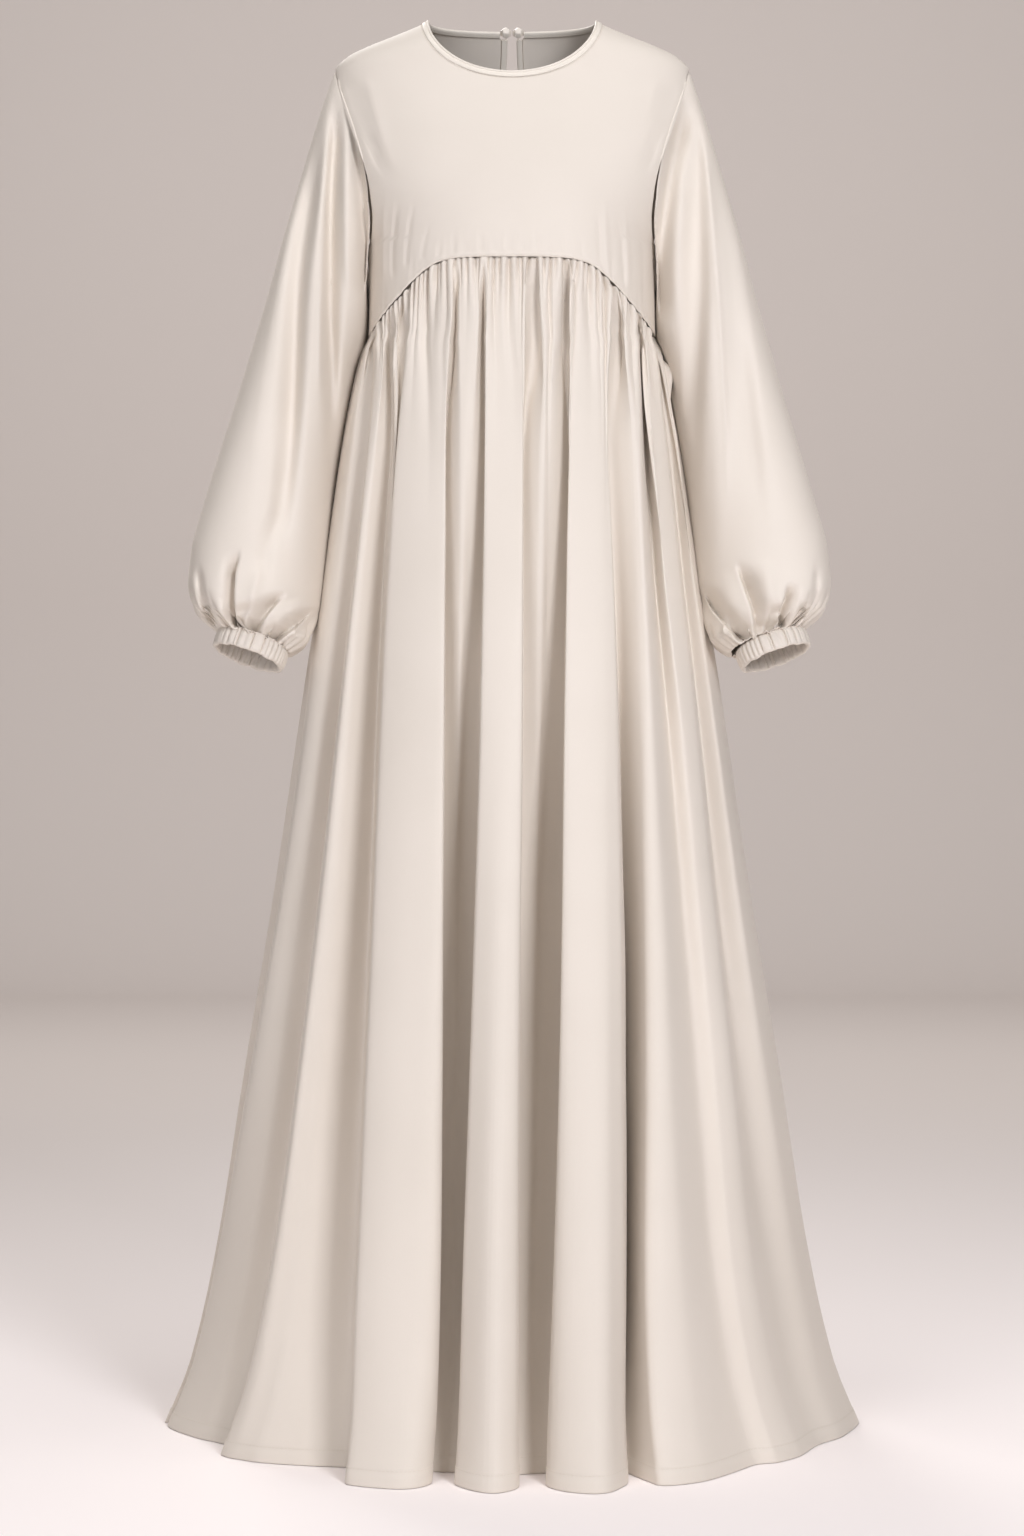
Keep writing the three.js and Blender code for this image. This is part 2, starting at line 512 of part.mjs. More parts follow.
// A row runs level from armhole to armhole at the underarm. Above it the rows take up the shape of
// the shoulders and neck, and below it that of the arched seam.
function bodicePlace(side, across, down) {
  const edge = sideEdge(side, down, 1);
  const tip = sideEdge(side, 0, 1);
  const end = sideEdge(side, 1, 1);
  const hollow = (tip.angle - edge.angle) * signedPower(2 * across - 1, 2);
  const top = topEdge(side, across);
  const bottomDrop = seamDrop(side, -90 + 180 * across) - HALF_GAP;
  const likeTop = 1 - ease(down / TOP_INFLUENCE);
  const likeBottom = ease((down - underarmShare(side)) / (1 - underarmShare(side)));
  const level = 2 * across - 1;
  return {
    angle: tip.angle * level - hollow + likeTop * (top.angle - tip.angle * level),
    drop: edge.drop + likeTop * (top.drop - tip.drop) + likeBottom * (bottomDrop - end.drop),
  };
}

const underarmShare = (side) => (
  (UNDERARM_DROP - SHOULDER_DROP) / (sideEdge(side, 1, 1).drop - SHOULDER_DROP));

// Its rows end where the sleeve's columns start, and its last row follows the gathers below it, so
// that the two edges of each seam stay parallel.
function bodiceGeometry(panel) {
  const { side } = panel;
  const columns = [
    ...SHOULDER_COLUMNS,
    ...neckTurns.map((turn) => NECK_START + (1 - 2 * NECK_START) * turn),
    ...SHOULDER_COLUMNS.map((value) => 1 - value).reverse(),
  ];
  const seam = panel.gathers.slice(0, -1).flatMap((edge, i) => (
    [edge, (edge + panel.gathers[i + 1]) / 2].map((place) => (seamAngle(panel, place) + 90) / 180)));
  const underarm = underarmShare(side);
  const downs = Array.from({ length: SLEEVE_COLUMNS / 2 + 1 }, (_, i) => (
    (underarm * (1 - Math.cos((2 * Math.PI * i) / SLEEVE_COLUMNS))) / 2));
  downs.push((1 + underarm) / 2, 1);
  const rows = downs.map((down) => (down === 1 ? [...seam, 1] : columns).map((across) => {
    const { angle, drop } = bodicePlace(side, across, down);
    const outer = settle(side, bodyPoint(side, angle, drop));
    const normal = down === 1 ? levelNormal(side, angle, drop) : bodyNormal(side, angle, drop);
    const inner = settle(side, outer.clone().addScaledVector(normal, -WALL));
    return { outer, inner, at: across };
  }));
  return wall(rows, false);
}

// The keyhole's half width at a drop below the back neck edge, and the way round its edge.
function keyholePoint(share, widen) {
  const turn = share * Math.PI;
  const end = KEYHOLE.end + widen;
  const drop = NECK_DROP - NECK_BACK_RISE + (end - NECK_DROP) * Math.sin(turn) ** KEYHOLE.spread;
  const fullness = ease((drop - NECK_DROP) / (KEYHOLE.wideDrop - NECK_DROP));
  const half = KEYHOLE.top + (KEYHOLE.wide - KEYHOLE.top) * fullness + widen;
  const closing = clamp01((end - drop) / (end - KEYHOLE.wideDrop));
  const x = -Math.sign(Math.cos(turn)) * half * Math.sqrt(1 - (1 - closing) ** 2);
  return { x: share === 0.5 ? 0 : x, drop };
}

// A block that cuts the keyhole, with room for its binding, from above the neck edge.
function keyholeCutter() {
  const shape = new THREE.Shape();
  const count = 2 * KEYHOLE_POINTS;
  const widen = BINDING_WIDTH + BINDING_GAP;
  const edge = Array.from({ length: count + 1 }, (_, i) => keyholePoint(i / count, widen));
  const above = 30;
  const depth = 160;
  const behind = 190;
  shape.moveTo(edge[0].x, above);
  edge.forEach(({ x, drop }) => shape.lineTo(x, -drop));
  shape.lineTo(edge[count].x, above);
  const cutter = new THREE.ExtrudeGeometry(shape, { depth, bevelEnabled: false, curveSegments: 1 });
  cutter.rotateX(Math.PI / 2);
  cutter.translate(0, behind, 0);
  return cutter;
}

const wasm = await Module();
wasm.setup();

function solid(geometry) {
  const bare = geometry.clone();
  bare.deleteAttribute('normal');
  bare.deleteAttribute('uv');
  const merged = mergeVertices(bare, 1e-4);
  return new wasm.Manifold(new wasm.Mesh({
    numProp: 3,
    vertProperties: new Float32Array(merged.attributes.position.array),
    triVerts: new Uint32Array(merged.index.array),
  }));
}

function cut(geometry, cutter) {
  const { vertProperties, triVerts } = solid(geometry).subtract(solid(cutter)).getMesh();
  const result = new THREE.BufferGeometry();
  result.setAttribute('position', new THREE.Float32BufferAttribute(vertProperties, 3));
  result.setIndex(Array.from(triVerts));
  return result;
}

// A flat rounded strip on the edge of a panel, from the panel's edge points, its surface normals
// and the way that leads off the panel there.
function strip(stations, width, isLoop) {
  const near = BINDING_GAP;
  const far = near + width;
  const section = [
    [near, BINDING_PROUD * BINDING_BOW],
    [near + width / 2, BINDING_PROUD],
    [far, -WALL * BINDING_EDGE.top],
    [far, -WALL * BINDING_EDGE.bottom],
    [near + width / 2, -WALL - BINDING_PROUD],
    [near, -WALL - BINDING_PROUD * BINDING_BOW],
  ];
  return sweep(stations.map(({ point, normal, off }) => section.map(([out, up]) => (
    point.clone().addScaledVector(off, out).addScaledVector(normal, up)))), isLoop);
}

// The way off a panel at a point of its edge, square to the edge and along the surface.
function offEdge(before, after, normal, toward) {
  const along = after.clone().sub(before);
  const off = along.cross(normal).normalize();
  return off.dot(toward) < 0 ? off.negate() : off;
}

function neckStation(side, turn) {
  const edge = (value) => topEdge(side, NECK_START + (1 - 2 * NECK_START) * value);
  const at = (value) => bodyPoint(side, edge(value).angle, edge(value).drop);
  const { angle, drop } = edge(turn);
  const point = bodyPoint(side, angle, drop);
  const normal = bodyNormal(side, THREE.MathUtils.clamp(angle, -89, 89), drop);
  const step = 0.01;
  const toward = new THREE.Vector3(-point.x, -point.y, 2 * NECK_HALF);
  const off = offEdge(at(Math.max(0, turn - step)), at(Math.min(1, turn + step)), normal, toward);
  return { point, normal, off };
}

function neckBinding() {
  const right = NECK_COLUMNS.slice(1).map((turn) => neckStation(BACK, turn));
  const left = NECK_COLUMNS.slice(1).map((turn) => neckStation(BACK, 1 - turn)).reverse();
  const front = neckTurns.map((turn) => neckStation(FRONT, turn)).reverse();
  return strip([...left, ...front, ...right], BINDING_WIDTH, false);
}

function keyholeBinding() {
  const count = 2 * KEYHOLE_POINTS;
  const widen = BINDING_WIDTH + BINDING_GAP;
  const lowest = KNOB_RADIUS - KNOB_RISE + SEAM_GAP;
  const pointAt = (share) => {
    const { x, drop } = keyholePoint(share, widen);
    return bodyPoint(BACK, angleAt(x, drop), Math.max(lowest, drop));
  };
  const stations = Array.from({ length: count + 1 }, (_, i) => {
    const share = i / count;
    const { x, drop } = keyholePoint(share, widen);
    const point = pointAt(share);
    const normal = bodyNormal(BACK, angleAt(x, drop), Math.max(lowest, drop));
    const step = 0.012;
    const before = pointAt(Math.max(0, share - step));
    const after = pointAt(Math.min(1, share + step));
    const toward = new THREE.Vector3(-x, 0, drop - KEYHOLE.wideDrop);
    return { point, normal, off: offEdge(before, after, normal, toward) };
  });
  return strip(stations, BINDING_WIDTH, false);
}

// The sleeves

const sleeveColumn = (name) => column(SLEEVE, 'at', name);
const sleeveTracks = Object.fromEntries(
  ['outX', 'outDrop', 'inX', 'inDrop', 'front', 'back', 'fore', 'lift']
    .map((name) => [name, sleeveColumn(name)]),
);

// A cuff's frame on the left: its axis towards the hand, outwards across it, and to the front.
const cuffAxis = new THREE.Vector3(Math.sin(CUFF_OUT_TILT), -Math.sin(CUFF_FORE_TILT),
  -Math.cos(CUFF_OUT_TILT) * Math.cos(CUFF_FORE_TILT)).normalize();
const cuffOut = new THREE.Vector3(1, 0, 0).addScaledVector(cuffAxis, -cuffAxis.x).normalize();
const cuffFront = new THREE.Vector3().crossVectors(cuffOut, cuffAxis).normalize();
if (cuffFront.y > 0) cuffFront.negate();
const cuffCentre = new THREE.Vector3(CUFF.x, CUFF.y, -CUFF.drop);

function cuffPoint(turn, radius, along) {
  return cuffCentre.clone()
    .addScaledVector(cuffOut, radius * Math.cos(turn * RAD))
    .addScaledVector(cuffFront, radius * Math.sin(turn * RAD))
    .addScaledVector(cuffAxis, along);
}

function sleeveRing(turn, at) {
  const get = (name) => sleeveTracks[name](at);
  const cos = signedPower(Math.cos(turn * RAD), SLEEVE_ROUND);
  const sin = signedPower(Math.sin(turn * RAD), SLEEVE_ROUND);
  const reach = sin > 0 ? get('front') : get('back');
  return new THREE.Vector3(
    (get('outX') + get('inX')) / 2 + (cos * (get('outX') - get('inX'))) / 2,
    -get('fore') - sin * reach,
    sin * get('lift') - (get('outDrop') + get('inDrop')) / 2 - (cos * (get('outDrop') - get('inDrop'))) / 2,
  );
}

// The share of the way down the armhole, from the shoulder tip to the underarm.
const shareAt = (turn) => (1 - Math.cos(turn * RAD)) / 2;

function armholePoint(turn) {
  const side = Math.sin(turn * RAD) >= 0 ? FRONT : BACK;
  const share = shareAt(turn);
  const drop = SHOULDER_DROP + (UNDERARM_DROP - SHOULDER_DROP) * share;
  return { side, angle: armholeAngle(side, share), drop };
}

function troughDepth(turn, at) {
  return SLEEVE_TROUGHS.reduce((sum, { start, end, from, mid, to, depth, width }) => {
    if (at <= start || at >= end) return sum;
    const along = (at - start) / (end - start);
    const middle = curve([0, 0.5, 1], [from, mid, to])(along);
    const away = Math.abs(((turn - middle + 540) % 360) - 180) / width;
    if (away >= 1) return sum;
    return sum + depth * Math.sin(Math.PI * along) ** TROUGH_FADE * Math.cos((Math.PI / 2) * away) ** 2;
  }, 0);
}

// The left sleeve's outer surface, with no gathers.
function sleevePoint(turn, at) {
  const plain = sleeveRing(turn, at);
  if (at < ARMHOLE_REACH) {
    const { side, angle, drop } = armholePoint(turn);
    const loop = bodyPoint(side, angle, drop).sub(sleeveRing(turn, 0));
    plain.addScaledVector(loop, (1 - at / ARMHOLE_REACH) ** 2);
    plain.x += UNDERARM_CLEAR * shareAt(turn) ** 2 * (1 - at / ARMHOLE_REACH);
  }
  if (at > CUFF_REACH) {
    plain.lerp(cuffPoint(turn, CUFF.radius - CUFF.bow, 0), ease((at - CUFF_REACH) / (1 - CUFF_REACH)));
  }
  const middle = sleeveRing(0, at).add(sleeveRing(180, at)).multiplyScalar(0.5);
  const inward = middle.sub(plain);
  return plain.addScaledVector(inward.normalize(), troughDepth(turn, at));
}

function sleeveNormal(turn, at) {
  const step = 0.008;
  const round = sleevePoint(turn + 1, at).sub(sleevePoint(turn - 1, at));
  const down = sleevePoint(turn, Math.min(1, at + step)).sub(sleevePoint(turn, Math.max(0, at - step)));
  return round.cross(down).normalize();
}

function sleeveGather(turn, at) {
  const { height, start, full, pinch, fullness } = SLEEVE_GATHER;
  if (at <= start) return 0;
  const v = ((turn / 360) * SLEEVE_GATHERS) % 1;
  const grown = ease((at - start) / (full - start));
  const pinched = 1 - pinch * ease((at - full) / (1 - full));
  return height * Math.abs(Math.sin(Math.PI * v)) ** fullness * grown * pinched;
}

// The first ring lies along the armhole seam, clear of the bodice's edge on the sleeve's side.
function armholeWallPoint(turn) {
  const { side, angle, drop } = armholePoint(turn);
  const normal = bodyNormal(side, angle, drop);
  const loopPoint = (value) => {
    const place = armholePoint(value);
    return bodyPoint(place.side, place.angle, place.drop);
  };
  const share = shareAt(turn);
  const outward = new THREE.Vector3(1, 0, share > UNDERARM_STARTS ? 2 : -0.4);
  const off = offEdge(loopPoint(turn - 2), loopPoint(turn + 2), normal, outward);
  const proud = UNDERARM_PROUD * share;
  const outer = loopPoint(turn).addScaledVector(off, SEAM_GAP).addScaledVector(normal, proud);
  const facing = sleeveNormal(turn, SLEEVE_ROWS[1] / 2);
  facing.addScaledVector(off, -Math.max(0, facing.dot(off))).normalize();
  return { outer, inner: outer.clone().addScaledVector(facing, -WALL), at: turn };
}

function sleeveWallPoint(turn, at) {
  if (at === 0) return armholeWallPoint(turn);
  const outer = sleevePoint(turn, at);
  const normal = sleeveNormal(turn, at);
  if (at === 1) normal.addScaledVector(cuffAxis, -normal.dot(cuffAxis)).normalize();
  outer.addScaledVector(normal, sleeveGather(turn, at));
  if (at === 1) outer.addScaledVector(cuffAxis, -SEAM_GAP);
  return { outer, inner: outer.clone().addScaledVector(normal, -WALL), at: turn };
}

function sleeveGeometry() {
  const turns = Array.from({ length: SLEEVE_COLUMNS }, (_, i) => (360 * i) / SLEEVE_COLUMNS);
  const fine = Array.from({ length: SLEEVE_GATHERS }, (_, i) => i).flatMap((i) => (
    GATHER_COLUMNS.map((v) => (360 * (i + v)) / SLEEVE_GATHERS)));
  return wall([
    ...SLEEVE_ROWS.map((at) => turns.map((turn) => sleeveWallPoint(turn, at))),
    ...SLEEVE_GATHER_ROWS.map((at) => fine.map((turn) => sleeveWallPoint(turn, at))),
  ], true);
}

function cuffGeometry() {
  const steps = 2 * CUFF_RIBS;
  const { height, wall: thick, radius, bow } = CUFF;
  const rings = Array.from({ length: steps }, (_, i) => {
    const turn = (360 * i) / steps;
    const rib = i % 2 ? CUFF_RIB_HEIGHT : 0;
    const section = [
      [radius + rib, 0],
      [radius + bow + rib, height / 2],
      [radius + rib, height],
      [radius - thick + rib, height],
      [radius - thick + bow + rib, height / 2],
      [radius - thick + rib, 0],
    ];
    return section.map(([away, along]) => cuffPoint(turn, away, along));
  });
  return sweep(rings, true);
}

// The same piece for the wearer's right, mirrored in the middle plane.
function mirrored(geometry) {
  const positions = Array.from(geometry.attributes.position.array, (value, i) => (i % 3 ? value : -value));
  return facingOut(positions, Array.from(geometry.index.array));
}

function knobGeometry() {
  return new THREE.DodecahedronGeometry(KNOB_RADIUS, 0).rotateX(KNOB_TILT);
}

const abaya = new THREE.Group();
abaya.name = 'abaya';

function add(name, geometry, finish) {
  const mesh = new THREE.Mesh(geometry, new THREE.MeshStandardMaterial(finish));
  mesh.name = name;
  abaya.add(mesh);
  return mesh;
}

const skirtFront = skirtPanel(FRONT, FRONT_LINES, FRONT_DEPTHS);
const skirtBack = skirtPanel(BACK, BACK_LINES, BACK_DEPTHS);
const sleeve = sleeveGeometry();
const cuff = cuffGeometry();

add('bodice_front', bodiceGeometry(skirtFront), CLOTH);
add('bodice_back', cut(bodiceGeometry(skirtBack), keyholeCutter()), CLOTH);
add('skirt_front', skirtGeometry(skirtFront), CLOTH);
add('skirt_back', skirtGeometry(skirtBack), CLOTH);
add('sleeve_left', sleeve, CLOTH);
add('sleeve_right', mirrored(sleeve), CLOTH);
add('cuff_left', cuff, TRIM);
add('cuff_right', mirrored(cuff), TRIM);
add('neck_binding', neckBinding(), TRIM);
add('keyhole_binding', keyholeBinding(), TRIM);
[['neck_button_left', 1], ['neck_button_right', -1]].forEach(([name, sign]) => {
  const knob = add(name, knobGeometry(), BUTTON);
  const depth = bodyDepth[BACK](NECK_DROP - NECK_BACK_RISE) - KNOB_INSET;
  knob.position.set(sign * (KNOB_X + HALF_GAP), depth, KNOB_RISE);
});

export default abaya;
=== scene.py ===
"""Looks of a full-length abaya with an arched yoke seam, a gathered skirt and balloon sleeves.

The garment hangs filled out as worn. Sizes are millimetres until a mesh is made. A drop is a
distance below the origin, which is midway between the side-neck points, and an angle runs round
the body from the wearer's right side (-90) through the centre to the left side (90).
"""

import logging
import math
from dataclasses import dataclass
from enum import Enum

import bpy
import numpy as np
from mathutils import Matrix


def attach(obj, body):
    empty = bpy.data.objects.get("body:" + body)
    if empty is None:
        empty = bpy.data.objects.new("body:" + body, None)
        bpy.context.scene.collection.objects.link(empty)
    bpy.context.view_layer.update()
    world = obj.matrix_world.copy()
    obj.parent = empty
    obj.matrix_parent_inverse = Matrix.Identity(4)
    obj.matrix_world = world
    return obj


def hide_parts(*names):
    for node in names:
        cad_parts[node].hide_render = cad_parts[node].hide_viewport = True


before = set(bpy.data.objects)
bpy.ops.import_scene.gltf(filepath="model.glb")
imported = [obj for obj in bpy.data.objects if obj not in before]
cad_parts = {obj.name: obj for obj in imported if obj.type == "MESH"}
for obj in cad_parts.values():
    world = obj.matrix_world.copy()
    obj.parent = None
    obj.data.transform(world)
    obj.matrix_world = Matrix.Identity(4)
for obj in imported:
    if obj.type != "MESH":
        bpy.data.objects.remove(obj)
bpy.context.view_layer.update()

MM = 0.001
VIEW_DISTANCE = 3400.0
VIEW_LEVEL = -800.0
HEM_DROP = 1500.0
HALF_GAP = 0.15
CLOTH = 0.9
SMOOTH_ANGLE = math.radians(70)
FULLY_FACING = 0.35

Array = np.ndarray
Path = tuple[tuple[float, float], ...]


class Side(Enum):
    """The front or back of the garment, as the sign of its y."""

    FRONT = -1
    BACK = 1


# How the cloth is shaped


@dataclass(frozen=True)
class Smooth:
    """A smooth curve through the rows of a table, with no overshoot between them."""

    xs: tuple[float, ...]
    ys: tuple[float, ...]

    def __call__(self, x: Array | float) -> Array:
        """The curve's value.

        Args:
            x: Where to read it; outside the table it keeps its end values.

        Returns:
            The values, in the shape of x.
        """
        xs, ys = np.asarray(self.xs, float), np.asarray(self.ys, float)
        slopes = np.diff(ys) / np.diff(xs)
        tangents = np.concatenate([slopes[:1], np.zeros(len(xs) - 2), slopes[-1:]])
        product = slopes[:-1] * slopes[1:]
        turning = product > 0
        total = np.where(turning, slopes[:-1] + slopes[1:], 1.0)
        tangents[1:-1] = np.where(turning, 2 * product / total, 0.0)
        x = np.clip(x, xs[0], xs[-1])
        i = np.clip(np.searchsorted(xs, x, side="right") - 1, 0, len(xs) - 2)
        step = xs[i + 1] - xs[i]
        u = (x - xs[i]) / step
        start = ys[i] * (1 + 2 * u) * (1 - u) ** 2 + tangents[i] * step * u * (1 - u) ** 2
        end = ys[i + 1] * u * u * (3 - 2 * u) - tangents[i + 1] * step * u * u * (1 - u)
        return start + end


def ease(value: Array | float) -> Array:
    """A smooth rise from 0 to 1."""
    held = np.clip(value, 0.0, 1.0)
    return held * held * (3 - 2 * held)


def grown(below: Array, start: float, run: float) -> Array:
    """A smooth rise from a start to 1 over a run."""
    return start + (1 - start) * ease(below / run)


def soft_ridge(away: Array, height: float | Array, reach: float | Array) -> Array:
    """The height of a soft ridge at a distance from its middle; at its reach it is a third."""
    return height * np.exp(-((away / reach) ** 2))


def signed_power(value: Array, power: float) -> Array:
    """A power that keeps the sign."""
    return np.sign(value) * np.abs(value) ** power


def unit(vectors: Array) -> Array:
    """The vectors at length 1."""
    return vectors / np.maximum(np.linalg.norm(vectors, axis=-1, keepdims=True), 1e-9)


def grid_normals(grid: Array, closed: bool) -> Array:
    """Unit normals of a grid of points, square to its columns and rows.

    Args:
        grid: Points by row and column.
        closed: Whether the rows close on themselves.

    Returns:
        The cross product of the way across and the way down, at length 1.
    """
    if closed:
        across = np.roll(grid, -1, axis=1) - np.roll(grid, 1, axis=1)
    else:
        across = np.gradient(grid, axis=1)
    return unit(np.cross(across, np.gradient(grid, axis=0)))


def seen_from_front(points: Array) -> tuple[Array, Array]:
    """Where points show on the middle plane for a viewer in front.

    Args:
        points: Points in millimetres.

    Returns:
        Their x and z on the plane y = 0.
    """
    scale = VIEW_DISTANCE / (VIEW_DISTANCE + points[..., 1])
    return points[..., 0] * scale, VIEW_LEVEL + (points[..., 2] - VIEW_LEVEL) * scale


@dataclass(frozen=True)
class Crease:
    """A soft trough in cloth along a path that runs down, or a ridge where its depth is below 0.

    The path is x and z in the view from its side, and left and right are the widths of its two
    flanks. It fades in over the first share of its path and out over the last, as fade says.
    Lap is how far the steep flank moves sideways over the trough; the rest of the crease is
    pressed straight in along y.
    """

    path: Path
    depth: float
    left: float
    right: float
    fade: tuple[float, float] = (0.25, 0.35)
    lap: float = 0.0
    lean_step: float = 2.0
    lap_place: float = 2.0
    lap_width: float = 1.6

    def press(self, x: Array, z: Array) -> tuple[Array, Array]:
        """How far the cloth lies under its plain form, and how far its steep flank laps over.

        Args:
            x: The points' x in the view.
            z: The points' z in the view.

        Returns:
            The depth and the move in x at each point.
        """
        drops = tuple(-row[1] for row in self.path)
        middle = Smooth(drops, tuple(row[0] for row in self.path))
        lean = middle(-z + self.lean_step) - middle(-z - self.lean_step)
        lean = lean / (2 * self.lean_step)
        offset = (x - middle(-z)) / np.sqrt(1 + lean * lean)
        along = (-z - drops[0]) / (drops[-1] - drops[0])
        strength = ease(along / self.fade[0]) * ease((1 - along) / self.fade[1])
        width = np.where(offset < 0, self.left, self.right)
        steep = 1.0 if self.right < self.left else -1.0
        reach = min(self.left, self.right)
        past = (offset * steep - self.lap_place * reach) / (self.lap_width * reach)
        over = -steep * self.lap * strength * np.exp(-(past ** 2))
        return strength * soft_ridge(offset, self.depth, width), over


def crease_cloth(grid: Array, normals: Array, side: Side, creases: tuple[Crease, ...]) -> Array:
    """The grid with creases pressed into the cloth that faces one way.

    Cloth that has turned away from that side is pressed less, and not at all past its outline.

    Args:
        grid: Points of the cloth's outer surface.
        normals: Its outward normals.
        side: The side that the creases are on.
        creases: The creases to press in.

    Returns:
        The moved points.
    """
    if side is Side.FRONT:
        x, z = seen_from_front(grid)
    else:
        x, z = grid[..., 0], grid[..., 2]
    facing = ease(side.value * normals[..., 1] / FULLY_FACING)
    moved = grid.copy()
    for crease in creases:
        sunk, over = crease.press(x, z)
        moved[..., 1] -= side.value * sunk * facing
        moved[..., 0] += over * facing
    return moved


# Making objects


def select_only(piece: bpy.types.Object) -> None:
    """Selects one object and nothing else."""
    bpy.ops.object.select_all(action="DESELECT")
    piece.select_set(True)
    bpy.context.view_layer.objects.active = piece


def new_piece(name: str, points: Array, faces: list[list[int]]) -> bpy.types.Object:
    """An object at the origin with its place in its mesh.

    Args:
        name: The piece's name.
        points: Its points in millimetres.
        faces: Its faces as lists of point numbers.

    Returns:
        The new object.
    """
    mesh = bpy.data.meshes.new(name)
    mesh.from_pydata((points.reshape(-1, 3) * MM).tolist(), [], faces)
    mesh.validate()
    piece = bpy.data.objects.new(name, mesh)
    bpy.context.scene.collection.objects.link(piece)
    return piece


def grid_faces(rows: int, columns: int, closed: bool, flip: bool) -> list[list[int]]:
    """Four-sided faces of a grid of points.

    Args:
        rows: The number of rows.
        columns: The number of columns.
        closed: Whether each row closes on itself.
        flip: Whether the faces point the other way.

    Returns:
        The faces.
    """
    index = np.arange(rows * columns).reshape(rows, columns)
    left = index if closed else index[:, :-1]
    right = np.roll(index, -1, axis=1) if closed else index[:, 1:]
    corners = [left[:-1], left[1:], right[1:], right[:-1]]
    if flip:
        corners.reverse()
    return np.stack(corners, axis=-1).reshape(-1, 4).tolist()


def capped_tube(rings: int, sides: int) -> list[list[int]]:
    """Faces of a tube of rings with an end cap at both ends.

    Args:
        rings: The number of rings.
        sides: The points in each.

    Returns:
        The faces.
    """
    first = list(range(sides))
    last = [(rings - 1) * sides + k for k in reversed(first)]
    return [*grid_faces(rings, sides, True, False), first, last]


def give_thickness(piece: bpy.types.Object, thickness: float = CLOTH) -> None:
    """Gives a sheet its thickness, inwards from its outer surface, and smooths its shading.

    Args:
        piece: The sheet.
        thickness: Its thickness in millimetres.
    """
    select_only(piece)
    wall = piece.modifiers.new("cloth", "SOLIDIFY")
    wall.thickness = thickness * MM
    wall.offset = -1.0
    bpy.ops.object.modifier_apply(modifier=wall.name)
    bpy.ops.object.shade_smooth_by_angle(angle=SMOOTH_ANGLE)


def merge_doubles(piece: bpy.types.Object, distance: float = 0.01) -> None:
    """Joins the points of a piece that lie together.

    Args:
        piece: The piece.
        distance: How near they lie, in millimetres.
    """
    select_only(piece)
    bpy.ops.object.mode_set(mode="EDIT")
    bpy.ops.mesh.select_all(action="SELECT")
    bpy.ops.mesh.remove_doubles(threshold=distance * MM)
    bpy.ops.object.mode_set(mode="OBJECT")


def face_outwards(piece: bpy.types.Object) -> None:
    """Turns the faces of a closed piece outwards and smooths its shading."""
    select_only(piece)
    bpy.ops.object.mode_set(mode="EDIT")
    bpy.ops.mesh.select_all(action="SELECT")
    bpy.ops.mesh.normals_make_consistent(inside=False)
    bpy.ops.object.mode_set(mode="OBJECT")
    bpy.ops.object.shade_smooth_by_angle(angle=SMOOTH_ANGLE)


def settle_piece(
    piece: bpy.types.Object, material: bpy.types.Material, nodes: tuple[str, ...]
) -> None:
    """Dresses a finished piece, hangs it from the root and hides the CAD nodes that it replaces.

    Args:
        piece: The piece.
        material: Its finish.
        nodes: The CAD nodes that it replaces.
    """
    piece.data.materials.clear()
    piece.data.materials.append(material)
    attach(piece, "root")
    if nodes:
        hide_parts(*nodes)


def report(piece: bpy.types.Object) -> None:
    """Logs a finished piece."""
    logging.info("%s: %d faces", piece.name, len(piece.data.polygons))


# The body of the garment

# Level sections: drop, half width, depth of the front and of the back.
BODY_ROWS = (
    (0, 88, 30, 67), (5, 95, 36, 71), (21, 131, 48, 80), (31, 156, 54, 85), (41, 176, 58, 89),
    (55, 189.5, 62, 93), (90, 192, 76, 100), (129, 190, 92, 106), (170, 183, 105, 109),
    (199, 174, 112, 110), (225, 163, 116, 110), (248, 155, 119, 109), (272, 153.5, 121, 107),
    (300, 153, 124.5, 107.5), (342, 153.5, 130.5, 111), (358, 160.5, 133, 113.5),
    (383, 168, 137, 117.5), (424, 176.5, 143.5, 124.5),
    (535, 194, 164, 146), (685, 218, 190, 174), (941, 256, 236, 216), (1134, 288, 270, 246),
    (1305, 315, 301, 274), (1433, 344, 325, 301), (1500, 371, 345, 322),
)


def table(rows: tuple[tuple[float, ...], ...], column: int) -> Smooth:
    """A curve of one column of a table over its first."""
    return Smooth(tuple(row[0] for row in rows), tuple(row[column] for row in rows))


